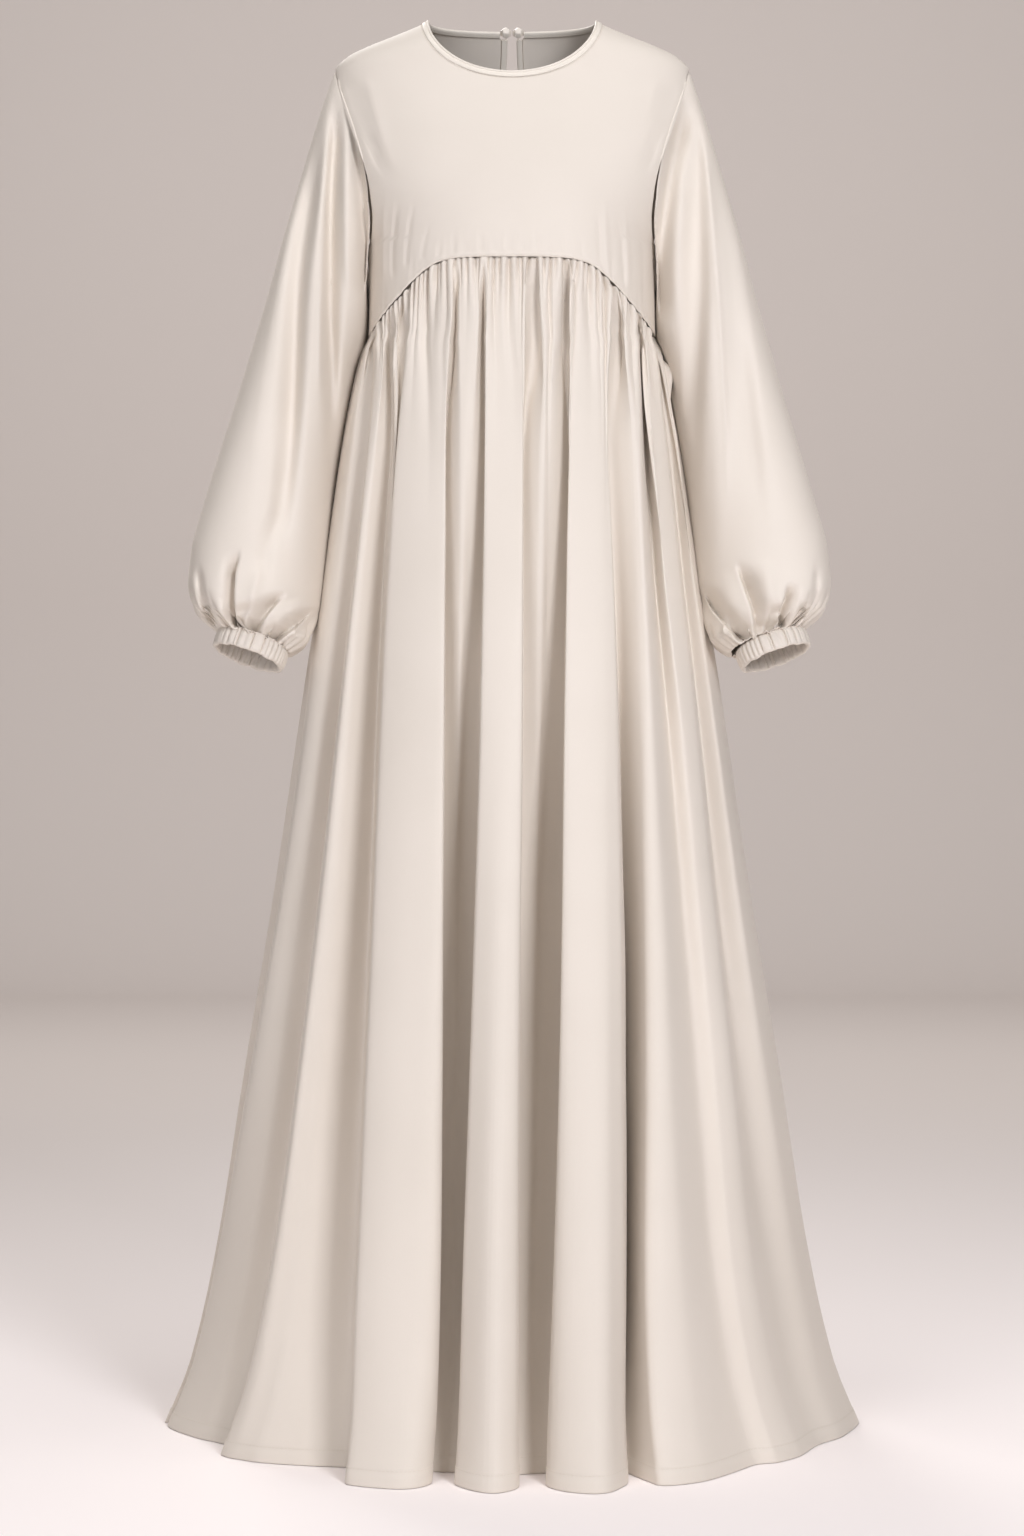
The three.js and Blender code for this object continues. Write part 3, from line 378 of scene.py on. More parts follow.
@dataclass(frozen=True)
class BodyForm:
    """The smooth form that the bodice and skirt lie on, with its seams."""

    side_round: float = 0.909
    yoke_drop: float = 342.0
    front_hem_bow: float = 1.6
    back_hem_bow: float = 1.25
    neck_drop: float = 5.0
    neck_half: float = 95.0
    neck_front_fall: float = 70.0
    neck_back_rise: float = 2.0
    shoulder_drop: float = 55.0
    underarm_drop: float = 248.0
    armhole_lowness: float = 1.36
    armhole_fullness: float = 0.35
    front_hollow: float = 34.0
    back_hollow: float = 24.0
    # The yoke seam's arch: the drop of its top, where it turns down and how softly.
    front_arch: tuple[float, float, float] = (272.0, 84.0, 10.0)
    back_arch: tuple[float, float, float] = (300.0, 112.8, 14.0)
    # The share of the top edge at which each shoulder meets the neck.
    neck_start: float = 0.22
    normal_step: float = 0.4

    def point(self, side: Side, angle: Array, drop: Array) -> Array:
        """A point of the form, with no folds.

        Args:
            side: Front or back.
            angle: The angle round the body, in degrees.
            drop: The drop.

        Returns:
            Points in millimetres.
        """
        below = np.clip((drop - self.yoke_drop) / (HEM_DROP - self.yoke_drop), 0, 1)
        hem_bow = self.front_hem_bow if side is Side.FRONT else self.back_hem_bow
        bow = self.side_round + (hem_bow - self.side_round) * below
        turn = np.radians(angle)
        depth = table(BODY_ROWS, 2 if side is Side.FRONT else 3)(drop)
        x = table(BODY_ROWS, 1)(drop) * signed_power(np.sin(turn), self.side_round)
        y = side.value * depth * np.abs(np.cos(turn)) ** bow
        return np.stack(np.broadcast_arrays(x, y, -drop), axis=-1)

    def normal(self, side: Side, angle: Array, drop: Array) -> Array:
        """The form's outward normal.

        Args:
            side: Front or back.
            angle: The angle round the body, in degrees.
            drop: The drop.

        Returns:
            The normals, which have no y at the side seams.
        """
        step = self.normal_step
        angle, drop = np.broadcast_arrays(np.asarray(angle, float), np.asarray(drop, float))
        held = np.clip(angle, -90 + step, 90 - step)
        across = self.point(side, held + step, drop) - self.point(side, held - step, drop)
        down = self.point(side, held, drop + 1) - self.point(side, held, drop - 1)
        plain = unit(np.cross(across, down) * side.value)
        half = table(BODY_ROWS, 1)
        fall = half(drop + 1) - half(drop - 1)
        end = unit(np.stack([np.sign(angle) * 2, 0 * fall, fall], axis=-1))
        return np.where((np.abs(angle) > 90 - step)[..., None], end, plain)

    def level_normal(self, side: Side, angle: Array, drop: Array) -> Array:
        """The outward normal, kept level."""
        return unit(self.normal(side, angle, drop) * np.array([1.0, 1.0, 0.0]))

    def angle_at(self, x: Array, drop: Array) -> Array:
        """The angle at which the form has a given x."""
        reach = np.minimum(1, np.abs(x) / table(BODY_ROWS, 1)(drop))
        return np.degrees(np.sign(x) * np.arcsin(reach ** (1 / self.side_round)))

    def seam_drop(self, side: Side, angle: Array) -> Array:
        """The drop of the arched yoke seam at an angle round the body."""
        top, turn, radius = self.front_arch if side is Side.FRONT else self.back_arch
        x = self.point(side, angle, np.full(np.shape(angle), self.yoke_drop))[..., 0]
        return top + radius * np.log1p(np.exp((np.abs(x) - turn) / radius))

    def top_edge(self, side: Side, share: Array) -> tuple[Array, Array]:
        """The shoulders and neck edge.

        Args:
            side: Front or back.
            share: The share of the way from the right shoulder tip to the left one.

        Returns:
            The angle and the drop.
        """
        along = np.minimum(share, 1 - share) / self.neck_start
        shoulder = self.shoulder_drop + (self.neck_drop - self.shoulder_drop) * along
        turn = np.pi * np.clip((share - self.neck_start) / (1 - 2 * self.neck_start), 0, 1)
        if side is Side.BACK:
            drop = self.neck_drop - self.neck_back_rise * np.sin(turn) ** 2
            angle = -90 + np.degrees(turn)
        else:
            drop = self.neck_drop + self.neck_front_fall * np.sin(turn)
            angle = self.angle_at(-self.neck_half * np.cos(turn), drop)
        on_shoulder = along < 1
        return (
            np.where(on_shoulder, np.where(share < 0.5, -90, 90), angle),
            np.where(on_shoulder, shoulder, drop),
        )

    def armhole_angle(self, side: Side, share: Array) -> Array:
        """The angle of the armhole's edge at a share of the way down it."""
        hollow = self.front_hollow if side is Side.FRONT else self.back_hollow
        turn = np.pi * np.clip(share, 0, 1) ** self.armhole_lowness
        return 90 - hollow * np.maximum(np.sin(turn), 0) ** self.armhole_fullness


FORM = BodyForm()


def settle(side: Side, grid: Array) -> Array:
    """Keeps a panel on its own side of the side and shoulder seams."""
    grid = grid.copy()
    grid[..., 1] = side.value * np.maximum(side.value * grid[..., 1], HALF_GAP)
    return grid


# The skirt

# Heights from 0 at the seam to 1 at the hem: those at which folds were read, and those of a line.
READ_HEIGHTS = (0, 0.04, 0.12, 0.25, 0.4, 0.55, 0.7, 0.85, 1)
HEIGHTS = (0, 0.015, 0.03, 0.045, 0.06, 0.08, 0.1, 0.13, 0.18, 0.25, 0.4, 0.55, 0.7, 0.85, 1)
ON_FORM = (0.0,) * (len(READ_HEIGHTS) - 1)
# The middle of the photo in pixels, and pixels for each millimetre of the middle plane.
PHOTO_MIDDLE = (512.0, 768.0)
PHOTO_SCALE = 0.9347


@dataclass(frozen=True)
class FoldLine:
    """A line down the folded skirt: an edge of a fold, a ridge or the bottom of a trough.

    The angles are at the heights above, from the seam to the hem. The depths under the outer
    form are at all of them but the first; at the seam they are 0.
    """

    angles: tuple[float, ...]
    depths: tuple[float, ...]


def tenths(values: Array) -> tuple[float, ...]:
    """The values in tenths, which is finer than a fold can be read."""
    return tuple(round(float(value), 1) for value in values)


def spread(values: tuple[float, ...]) -> Array:
    """Values at the lines' heights, from those at the heights that were read."""
    return Smooth(READ_HEIGHTS, values)(np.array(HEIGHTS))


def fold_line(angles: tuple[float, ...], depths: tuple[float, ...] = ON_FORM) -> FoldLine:
    """A fold line from values at the heights that were read.

    Args:
        angles: Its angles, from the seam to the hem.
        depths: Its depths, from below the seam to the hem.

    Returns:
        The line.
    """
    return FoldLine(tenths(spread(angles)), tenths(spread((0.0, *depths))[1:]))


@dataclass(frozen=True)
class FoldCourse:
    """A line of the front folds as it was read in the photo, as y and x in pixels.

    The seam is its angle at the yoke seam. Below the gathers a course may keep a gap to its
    lead, which is an edge beside it, or be shifted sideways. Both are in pixels.
    """

    seam: float
    ys: tuple[float, ...]
    xs: tuple[float, ...]
    depths: tuple[float, ...] = ON_FORM
    lead: str = ""
    gap: float = 0.0
    shift: float = 0.0
    lead_points_from: float = 420.0
    lead_from: float = 340.0
    shift_from: float = 300.0
    change_over: float = 120.0
    turns: tuple[float, float, int] = (-89.9, 89.9, 3597)

    def drawn(self) -> tuple[Array, Array]:
        """The course with its lead and shift.

        Returns:
            Its x and y, from the top down.
        """
        x, y = np.array(self.xs, float), np.array(self.ys, float)
        if self.lead:
            lead = FRONT_COURSES[self.lead]
            lead_x, lead_y = np.array(lead.xs, float), np.array(lead.ys, float)
            rows = np.union1d(y, lead_y[lead_y > self.lead_points_from])
            share = ease((rows - self.lead_from) / self.change_over)
            own, led = np.interp(rows, y, x), np.interp(rows, lead_y, lead_x) + self.gap
            x, y = own * (1 - share) + led * share, rows
        return x + self.shift * np.clip((y - self.shift_from) / self.change_over, 0, 1), y

    def x_at(self, y: Array) -> Array:
        """The course's x at a y, carried straight on beyond its ends."""
        xs, ys = self.drawn()
        x = Smooth(tuple(ys), tuple(xs))(y)
        for end, inner, beyond in ((0, 1, y < ys[0]), (-1, -2, y > ys[-1])):
            slope = (xs[end] - xs[inner]) / (ys[end] - ys[inner])
            x = np.where(beyond, xs[end] + (y - ys[end]) * slope, x)
        return x

    def line(self) -> FoldLine:
        """The line round the body that shows along the course from the front.

        Returns:
            The line.
        """
        turns = np.linspace(*self.turns)
        depths = spread((0.0, *self.depths))
        start = FORM.seam_drop(Side.FRONT, np.array(self.seam)) + HALF_GAP
        angles = [self.seam]
        for height, depth in zip(HEIGHTS[1:], depths[1:]):
            drop = start + (HEM_DROP - start) * height
            inset = FORM.level_normal(Side.FRONT, turns, drop) * depth
            x, z = seen_from_front(FORM.point(Side.FRONT, turns, drop) - inset)
            y = PHOTO_MIDDLE[1] - (z - VIEW_LEVEL) * PHOTO_SCALE
            miss = PHOTO_MIDDLE[0] + x * PHOTO_SCALE - self.x_at(y)
            k = np.flatnonzero(np.diff(np.sign(miss)))
            k = k[np.argmin(np.abs(turns[k] - angles[-1]))]
            share = miss[k] / (miss[k] - miss[k + 1])
            angles.append(turns[k] + (turns[k + 1] - turns[k]) * share)
        return FoldLine(tenths(angles), tenths(depths[1:]))


# The rows of the photo at which most courses were read.
ROWS = (400, 440, 480, 520, 600, 680, 740, 820, 900, 1000, 1080, 1160, 1240, 1320, 1380, 1430)
FEW_ROWS = (400, 440, 520, 600, 680, 740, 900, 1080, 1240, 1320, 1380, 1430)
FRONT_COURSES = {
    "middle 1": FoldCourse(-75.3, (334, *ROWS),
        (371.8, 356.5, 352, 347.5, 344, 336.5, 328, 321, 311.5, 301, 287, 277, 265, 252, 233, 217,
         199),
        (0.5, 2, 8, 13, 17, 19, 18, 12)),
    "trough 1": FoldCourse(-71.4, (328, 360, *ROWS),
        (374, 371.5, 368, 364, 359, 355, 347, 338, 331.5, 323.5, 314, 302, 292, 281, 269, 254, 238,
         220),
        (8, 17, 25, 33, 38, 42, 40, 26), lead="edge 2", gap=3),
    "edge 2": FoldCourse(-68.6, (325, 360, *ROWS),
        (376, 374, 371, 367, 363, 359, 350.5, 342.5, 335.5, 327.5, 318.5, 306.5, 297, 286, 274,
         260, 245, 228), shift=2),
    "middle 2": FoldCourse(-60, (313, 360, *ROWS),
        (384, 383, 380, 376, 372, 368.5, 362, 356, 351, 344, 338, 327, 318, 309, 299, 285, 271,
         259),
        (0.5, 2, 7, 11, 14, 16, 15, 10)),
    "trough 2": FoldCourse(-55.4, (307, 330, 360, *ROWS),
        (389.5, 391, 390.5, 389.5, 388, 386, 383, 379, 376, 373, 370, 367, 362, 358, 353, 349, 344,
         341, 341),
        (13, 22, 34, 46, 56, 64, 66, 62), lead="edge 3", gap=-4.5),
    "ridge 2": FoldCourse(-51.7, (301, 330, 360, *ROWS),
        (394.5, 395.5, 394, 393, 391.5, 389, 386, 382, 378.5, 375.5, 372.5, 369.5, 365, 361, 357,
         353, 348, 345, 344),
        (1, 4, 20, 40, 52, 60, 64, 62), lead="edge 3", gap=-1.5),
    "inner trough 2": FoldCourse(-46.4, (292, 330, 360, *ROWS),
        (402.5, 402.5, 399.5, 396.5, 394, 391, 388, 384, 380.5, 377.5, 374.5, 371.5, 367, 363.5,
         360, 356, 351.5, 348, 346),
        (7, 10, 16, 26, 32, 36, 38, 36), lead="edge 3", gap=2),
    "edge 3": FoldCourse(-42.5, (283, 330, 360, *ROWS),
        (409, 405.5, 402.5, 399.5, 396.5, 394, 391.5, 387.5, 384, 381, 378, 375, 370.5, 367, 364,
         360.5, 356.5, 352.5, 350),
        (0, 0, 0, 1, 2, 3, 4, 4)),
    "dip 3": FoldCourse(-31.5, (266, 300, 330, 360, 400, 480, 520, 600, 740, 900, 1080, 1240, 1430),
        (430, 428.5, 427.5, 428, 430, 430, 429, 426, 422, 416, 411, 406, 400),
        (4, 2, 2, 4, 7, 11, 13, 10)),
    "far edge 3": FoldCourse(-21.5, (259, 300, 330, 360, 400, 600, *FEW_ROWS[5:]),
        (452.5, 452, 450.5, 448, 446.5, 446, 445, 444, 443, 442, 440, 438, 435),
        (0, 1, 4, 9, 17, 28, 37, 45)),
    "trough 3": FoldCourse(-19.6, (259, 300, 330, 360, *FEW_ROWS),
        (457, 456.3, 456, 455.3, 455, 454.5, 454.5, 455, 454, 453, 451, 450, 448, 447, 445, 443),
        (11, 20, 30, 58, 84, 97, 100, 92), lead="far edge 3", gap=-3),
    "right ridge 3": FoldCourse(-18.4, (258, 300, 330, 360, 400, *FEW_ROWS[2:]),
        (460, 459, 459, 459, 459.5, 460, 459.5, 458.5, 457.5, 455, 453, 451, 449, 447, 446),
        (0, 2, 16, 52, 88, 103, 104, 95)),
    "left ridge 3": FoldCourse(-10.8, (256, 300, 330, 360, *FEW_ROWS),
        (479.5, 479, 478.5, 476.5, 474, 472.5, 471, 469, 466.5, 465, 461, 457.5, 454.5, 452, 450,
         449),
        (0, 4, 24, 62, 96, 107, 108, 97)),
    "left trough 3": FoldCourse(-9.2, (256, 300, 360, 400, 440, *ROWS[3:]),
        (484, 483.5, 483, 482, 481, 480, 478.5, 476, 473.5, 471.5, 468.5, 466, 463.5, 460.5, 458.5,
         456, 453.5, 452),
        (14, 23, 42, 70, 98, 108, 108, 97), lead="edge 4", gap=3),
    "edge 4": FoldCourse(-7.9, (256, 300, 330, 360, 400, 440, *ROWS[3:]),
        (487.5, 486.5, 486, 485.5, 485, 484.3, 483.3, 482, 480.5, 479.5, 477.5, 475.5, 472.5, 470,
         467, 464.5, 461.5, 459, 457),
        (0, 0.5, 2, 5, 10, 17, 29, 44)),
    "dip 4": FoldCourse(-0.8, (256, 300, 330, 360, 400, 520, 600, 740, 900, 1080, 1240, 1430),
        (509, 508.5, 509.5, 512.5, 514, 514, 512, 508, 503, 499, 496, 494),
        (4.5, 2.6, 1.3, 0.6, 0, 0, 4, 12)),
    "far edge 4": FoldCourse(3.9, (256, 300, 330, 360, 400, 600, 740, 900, 1080, 1240, 1430),
        (525, 524.5, 524, 524, 524, 524, 523, 521, 520, 519, 519),
        (0, 0.5, 2, 5, 10, 17, 29, 44)),
    "trough 4": FoldCourse(
        7.2, (257, 300, 330, 360, 400, 440, 520, 600, 680, 740, 900, 1080, 1240, 1380, 1430),
        (534.5, 535, 535, 534.5, 534, 533.5, 534, 534, 533, 532, 530, 528, 526, 525, 524),
        (11, 18, 28, 56, 84, 97, 100, 92), lead="far edge 4", gap=-3),
    "right ridge 4": FoldCourse(
        8.6, (257, 300, 330, 360, 400, 440, 520, 600, 680, 740, 900, 1080, 1240, 1380, 1430),
        (538.5, 538.5, 539.5, 541, 541, 540.5, 540, 539, 538, 537, 534, 531.5, 529, 527.5, 526.5),
        (0, 2, 16, 52, 88, 103, 104, 95)),
    "left ridge 4": FoldCourse(
        14.8, (258, 300, 330, 360, 400, 440, 520, 600, 680, 740, 900, 1080, 1240, 1380, 1430),
        (555, 553, 554, 552.5, 551.5, 551, 550, 548, 546.5, 545, 541.5, 537.5, 534, 531, 530),
        (0, 4, 24, 62, 96, 107, 108, 97)),
    "left trough 4": FoldCourse(19.6, (260, 300, 330, 360, 400, 440, *ROWS[3:]),
        (567, 566.7, 565.5, 563.8, 562.3, 561, 559.5, 557.5, 556, 554.5, 553, 551.5, 549.5, 547.5,
         545, 543, 541, 538.5, 537),
        (14, 23, 42, 70, 98, 108, 108, 97), lead="edge 5", gap=6),
    "edge 5": FoldCourse(21, (260, 300, 330, 360, 400, 440, *ROWS[3:]),
        (570.5, 570, 569, 567.5, 566, 565, 563.7, 562.3, 561.2, 560.3, 559.3, 558.3, 557, 555.5,
         553, 550.5, 548.5, 546, 544.5),
        (0, 0.5, 2, 5, 10, 18, 31, 48), shift=3),
    "dip 5": FoldCourse(30.5, (268, 300, 330, 360, 400, 480, 520, 600, 740, 900, 1080, 1240, 1430),
        (592, 593, 595, 596, 598, 597, 598, 599, 600, 601, 601, 600, 600),
        (4, 2.2, 1.2, 0.5, 0, 0, 0, 0)),
    "far edge 5": FoldCourse(40.8, (287, 300, 330, 360, *ROWS),
        (612, 615.8, 615.8, 614.5, 613.5, 613.5, 614.5, 615.5, 617.5, 619.5, 620.5, 622, 623, 624,
         624.5, 625, 625.5, 626, 627, 628),
        (0, 0.5, 2, 4, 7, 12, 18, 26), shift=-3),
    "trough 5": FoldCourse(43.6, (293, 320, 360, 400, 440, *ROWS[3:]),
        (617, 619.5, 619.5, 620.3, 622, 623.5, 626, 627.3, 628, 628.8, 629.3, 629.8, 630, 630, 630,
         630.5, 632, 634),
        (12, 18, 32, 50, 72, 84, 84, 74), lead="far edge 5", gap=-3),
    "middle 5": FoldCourse(46.4, (298, 320, 360, 400, 440, *ROWS[3:]),
        (621.5, 624, 625.5, 629, 631, 634, 637.5, 640, 641, 642.5, 644, 645, 645.5, 646, 645, 645,
         647, 652),
        (0.5, 3, 6, 9, 12, 14, 15, 12)),
    "crest 6": FoldCourse(55, (312, 330, 360, *ROWS),
        (634, 636.5, 637.5, 639.3, 640.3, 641.3, 643.3, 647, 650, 654, 658, 663, 667, 670, 674,
         679, 684, 690, 697)),
    "trough 6": FoldCourse(58.3, (317, 330, 360, *ROWS),
        (638, 640.5, 641, 642, 643.7, 647, 650, 656, 663, 669, 675, 682, 690, 697, 703, 710, 719,
         730, 744),
        (12, 20, 20, 18, 17, 17, 17, 15)),
    "edge 6": FoldCourse(61.4, (321, 330, 360, *ROWS),
        (641.5, 643.5, 644, 645.5, 649, 654, 658, 666, 674, 682, 690, 698, 708, 716, 723, 731, 740,
         752, 768),
        (0, 0, 1, 2, 3, 4, 4, 3)),
    "crest 7": FoldCourse(71.4, (332, 370, *ROWS),
        (650, 658, 660.5, 665.3, 669.8, 673.8, 681.8, 690.2, 696.8, 704.8, 713, 723.3, 732, 740,
         749, 759, 772, 790)),
    "trough 7": FoldCourse(75.9, (336, 370, *ROWS),
        (652.5, 660.5, 663, 668, 672.5, 676.5, 684.5, 693, 700, 708.5, 717.5, 729, 740, 751, 764,
         780, 796, 812),
        (7, 11, 15, 19, 21, 18, 13, 8)),
}
FRONT_LINES = (
    fold_line((-90,) * 9),
    fold_line((-82.4, -82, -82, -82, -86, -87, -88, -88.5, -88),
              (0, 0, 1, 10, 14, 14, 10, 6)),
    fold_line((-79.1, -77.5, -76, -72.5, -71.5, -73, -75, -80, -79)),
    *(course.line() for course in FRONT_COURSES.values()),
    fold_line((83, 76, 72, 68, 68, 68, 68.5, 70, 68.4)),
    fold_line((90,) * 9),
)
# The back's lines: angles and depths at the heights for reading.
BACK_LINES = tuple(fold_line(*row) for row in (
    ((-90,) * 9,),
    ((-88.1, -88, -87.8, -87.4, -87, -86.9, -86.9, -86.9, -87),),
    ((-83.2, -82.9, -82.1, -80.5, -78.7, -78.1, -77.6, -77.3, -77), (3.2, 2, 1, 0.5, 0, 0, 0, 0)),
    ((-79.9, -79.3, -78.2, -75.8, -72.9, -72, -71, -70.5, -70),),
    ((-78, -77.3, -76, -73.2, -70, -69, -68, -67.5, -67),
     (8.3, 17.8, 18.6, 22.2, 24.2, 26.4, 25.2, 24)),
    ((-73.9, -73.3, -72.2, -69.5, -66.4, -65.4, -64.4, -64.2, -64), (0, 0, 0, 0, 0, 0, 3, 6)),
    ((-65.9, -65.4, -64.4, -61.6, -58.4, -57.2, -55.9, -56.2, -56.5), (3.2, 2, 1, 0.5, 0, 0, 3, 6)),
    ((-58.3, -57.9, -57.1, -54.2, -50.9, -49.4, -47.9, -48.6, -49.3), (0, 0, 0, 0, 0, 0, 3, 6)),
    ((-55, -54.7, -54, -51.2, -48, -46.5, -45, -46, -47),
     (12.4, 26.7, 33.6, 44.5, 53.1, 62.5, 68.4, 74.4)),
    ((-51.2, -50.9, -50.2, -47.5, -44.4, -43.1, -41.7, -42.6, -43.4), (0, 0, 0.9, 2, 3, 4, 6, 8)),
    ((-44.4, -43.9, -42.9, -40.1, -36.9, -35.6, -34.4, -34.4, -34.5),
     (3.2, 2, 1.9, 2.5, 3, 4, 6, 8)),
    ((-36.1, -35.4, -34.2, -31.3, -28, -26.8, -25.6, -24.8, -24), (0, 0, 0.9, 2, 3, 4, 6, 8)),
    ((-32, -31.3, -30, -27.2, -24, -23, -22, -21, -20),
     (13.3, 28.5, 35.6, 46.9, 58, 69.7, 79.2, 88.8)),
    ((-29.1, -28.5, -27.3, -24.6, -21.6, -20.6, -19.6, -18.7, -17.9),),
    ((-22.9, -22.4, -21.3, -18.8, -15.8, -14.6, -13.3, -12.5, -11.6), (3.2, 2, 1, 0.5, 0, 0, 0, 0)),
    ((-15.6, -15.2, -14.3, -11.8, -9, -7.5, -6, -5.2, -4.3),),
    ((-12, -11.7, -11, -8.7, -6, -4.5, -3, -2.3, -1.6),
     (13.3, 28.5, 35.6, 46.9, 58, 69.7, 80.4, 91.2)),
    ((-7.5, -7.2, -6.8, -5.5, -4, -3, -2, -1.6, -1.2), (1.7, 5, 17.5, 32, 45, 58, 67, 76)),
    ((-3, -2.8, -2.5, -2.3, -2, -1.5, -1, -0.9, -0.8),
     (13.3, 28.5, 35.6, 46.9, 58, 69.7, 80.4, 91.2)),
    ((-0.1, 0, 0.3, 0.5, 0.7, 1.1, 1.5, 1.6, 1.7), (0, 0, 0, 0, 1, 2, 4, 6)),
    ((7.9, 8, 8.1, 8.5, 8.9, 9.4, 9.9, 10.3, 10.6), (3.2, 2, 1, 0.5, 1, 2, 4, 6)),
    ((13, 13.1, 13.2, 13.7, 14.2, 14.8, 15.4, 15.9, 16.5), (0, 0, 0, 0, 1, 2, 4, 6)),
    ((16, 16, 16, 16.5, 17, 17.5, 18, 18.5, 19), (12.4, 26.7, 33.6, 44.5, 55.6, 67.3, 76.8, 86.4)),
    ((20.5, 20.3, 20, 19.5, 19, 19, 19, 19.2, 19.5), (2, 6, 18.1, 32, 44, 56, 64, 72)),
    ((25, 24.7, 24, 22.6, 21, 20.5, 20, 20, 20), (12.4, 26.7, 33.6, 44.5, 55.6, 67.3, 76.8, 86.4)),
    ((28.9, 28.5, 27.8, 26.3, 24.5, 23.8, 23.1, 23.3, 23.4), (0, 0, 0, 0, 0, 0, 2, 4)),
    ((35.1, 34.7, 34.1, 32.5, 30.6, 29.9, 29.1, 29.8, 30.5), (3.2, 2, 1, 0.5, 0, 0, 2, 4)),
    ((43.9, 43.5, 42.9, 41.2, 39.2, 38.4, 37.6, 39, 40.4), (0, 0, 0, 0, 0, 0, 2, 4)),
    ((47, 46.7, 46, 44.1, 42, 41, 40, 41.5, 43), (11.6, 24.9, 31.6, 42, 50.7, 60.1, 66, 72)),
    ((51.3, 50.9, 50.2, 48.3, 46, 44.9, 43.8, 44.9, 46.1), (0, 0, 0.9, 2, 3, 4, 5, 6)),
    ((59.5, 59.1, 58.5, 56.6, 54.5, 53.5, 52.5, 53.2, 54), (3.2, 2, 1.9, 2.5, 3, 4, 5, 6)),
    ((68.8, 68.5, 67.9, 66.2, 64.2, 63.3, 62.4, 62.7, 63), (0, 0, 0.9, 2, 3, 4, 5, 6)),
    ((73, 72.7, 72, 70.1, 68, 67, 66, 66, 66), (6.6, 14.2, 15.9, 19.8, 22.9, 26.4, 25.2, 24)),
    ((75.5, 75.2, 74.5, 72.9, 70.9, 69.9, 69, 68.9, 68.7),),
    ((82, 81.8, 81.5, 80.6, 79.6, 79.1, 78.6, 78.6, 78.6), (3.2, 2, 1, 0.5, 0, 0, 0, 0)),
    ((87.3, 87.3, 87.2, 87, 86.8, 86.7, 86.7, 86.8, 86.9),),
    ((90,) * 9,),
))


@dataclass(frozen=True)
class Gathering:
    """Narrow uneven valleys that the gathering thread pulls into cloth along a seam.

    Distances along the seam are millimetres of the finished seam, and the valleys spread with
    the cloth below it.
    """

    count: int
    seed: int
    depth: float
    length: float
    width: float = 1.35
    spread: float = 0.028
    long_share: float = 0.3
    drift: float = 0.03
    rise: float = 1.2
    rise_length: float = 60.0
    shares: tuple[float, ...] = (0, 0.1, 0.22, 0.38, 0.62, 0.78, 0.9)
    # How much depth, length and width vary, and how much more a long valley has of each.
    ranges: tuple[float, float, float] = (0.45, 0.55, 0.3)
    long_scales: tuple[float, float, float] = (1.35, 2.6, 1.3)
    # What shows of the depth and of the rise at the seam itself, and where all of it does.
    seam_depth: tuple[float, float] = (0.72, 7.0)
    seam_rise: tuple[float, float] = (0.4, 10.0)

    def centres(self, seam_length: float) -> Array:
        """The valleys' places along a seam."""
        step = seam_length / self.count
        jitter = np.random.default_rng(self.seed).uniform(-0.3, 0.3, self.count)
        return (np.arange(self.count) + 0.5 + jitter) * step

    def columns(self, seam_length: float) -> Array:
        """Places along the seam that draw each valley, close together at its bottom."""
        edges = np.concatenate([[0], self.centres(seam_length), [seam_length]])
        steps = np.diff(edges)[:, None] * np.array(self.shares)
        return np.append((edges[:-1, None] + steps).ravel(), seam_length)

    def lift(self, along: Array, below: Array, seam_length: float) -> Array:
        """How far the gathered cloth stands out of its plain form.

        Args:
            along: The columns' places along the seam.
            below: The rows' distances below the seam.
            seam_length: The seam's length.

        Returns:
            The lift at each row and column.
        """
        dice = np.random.default_rng(self.seed + 1)
        size, reach, lean = dice.uniform(-1, 1, (3, self.count))
        is_long = dice.uniform(0, 1, self.count) < self.long_share
        deeper, longer, wider = (np.where(is_long, scale, 1.0) for scale in self.long_scales)
        depth = self.depth * (1 + self.ranges[0] * size) * deeper
        length = self.length * np.exp(self.ranges[1] * reach) * longer
        width = self.width * (1 + self.ranges[2] * size) * wider
        below = below[:, None, None]
        centre = self.centres(seam_length) + self.drift * lean * below
        across = np.abs(along[None, :, None] - centre) / (width + self.spread * below)
        fade = grown(below, *self.seam_depth) * np.exp(-((below / length) ** 1.6))
        valleys = (depth * fade * np.exp(-(across ** 1.45))).sum(axis=-1)
        below = below[..., 0]
        swell = self.rise * grown(below, *self.seam_rise)
        return swell * np.exp(-((below / self.rise_length) ** 1.5)) - valleys


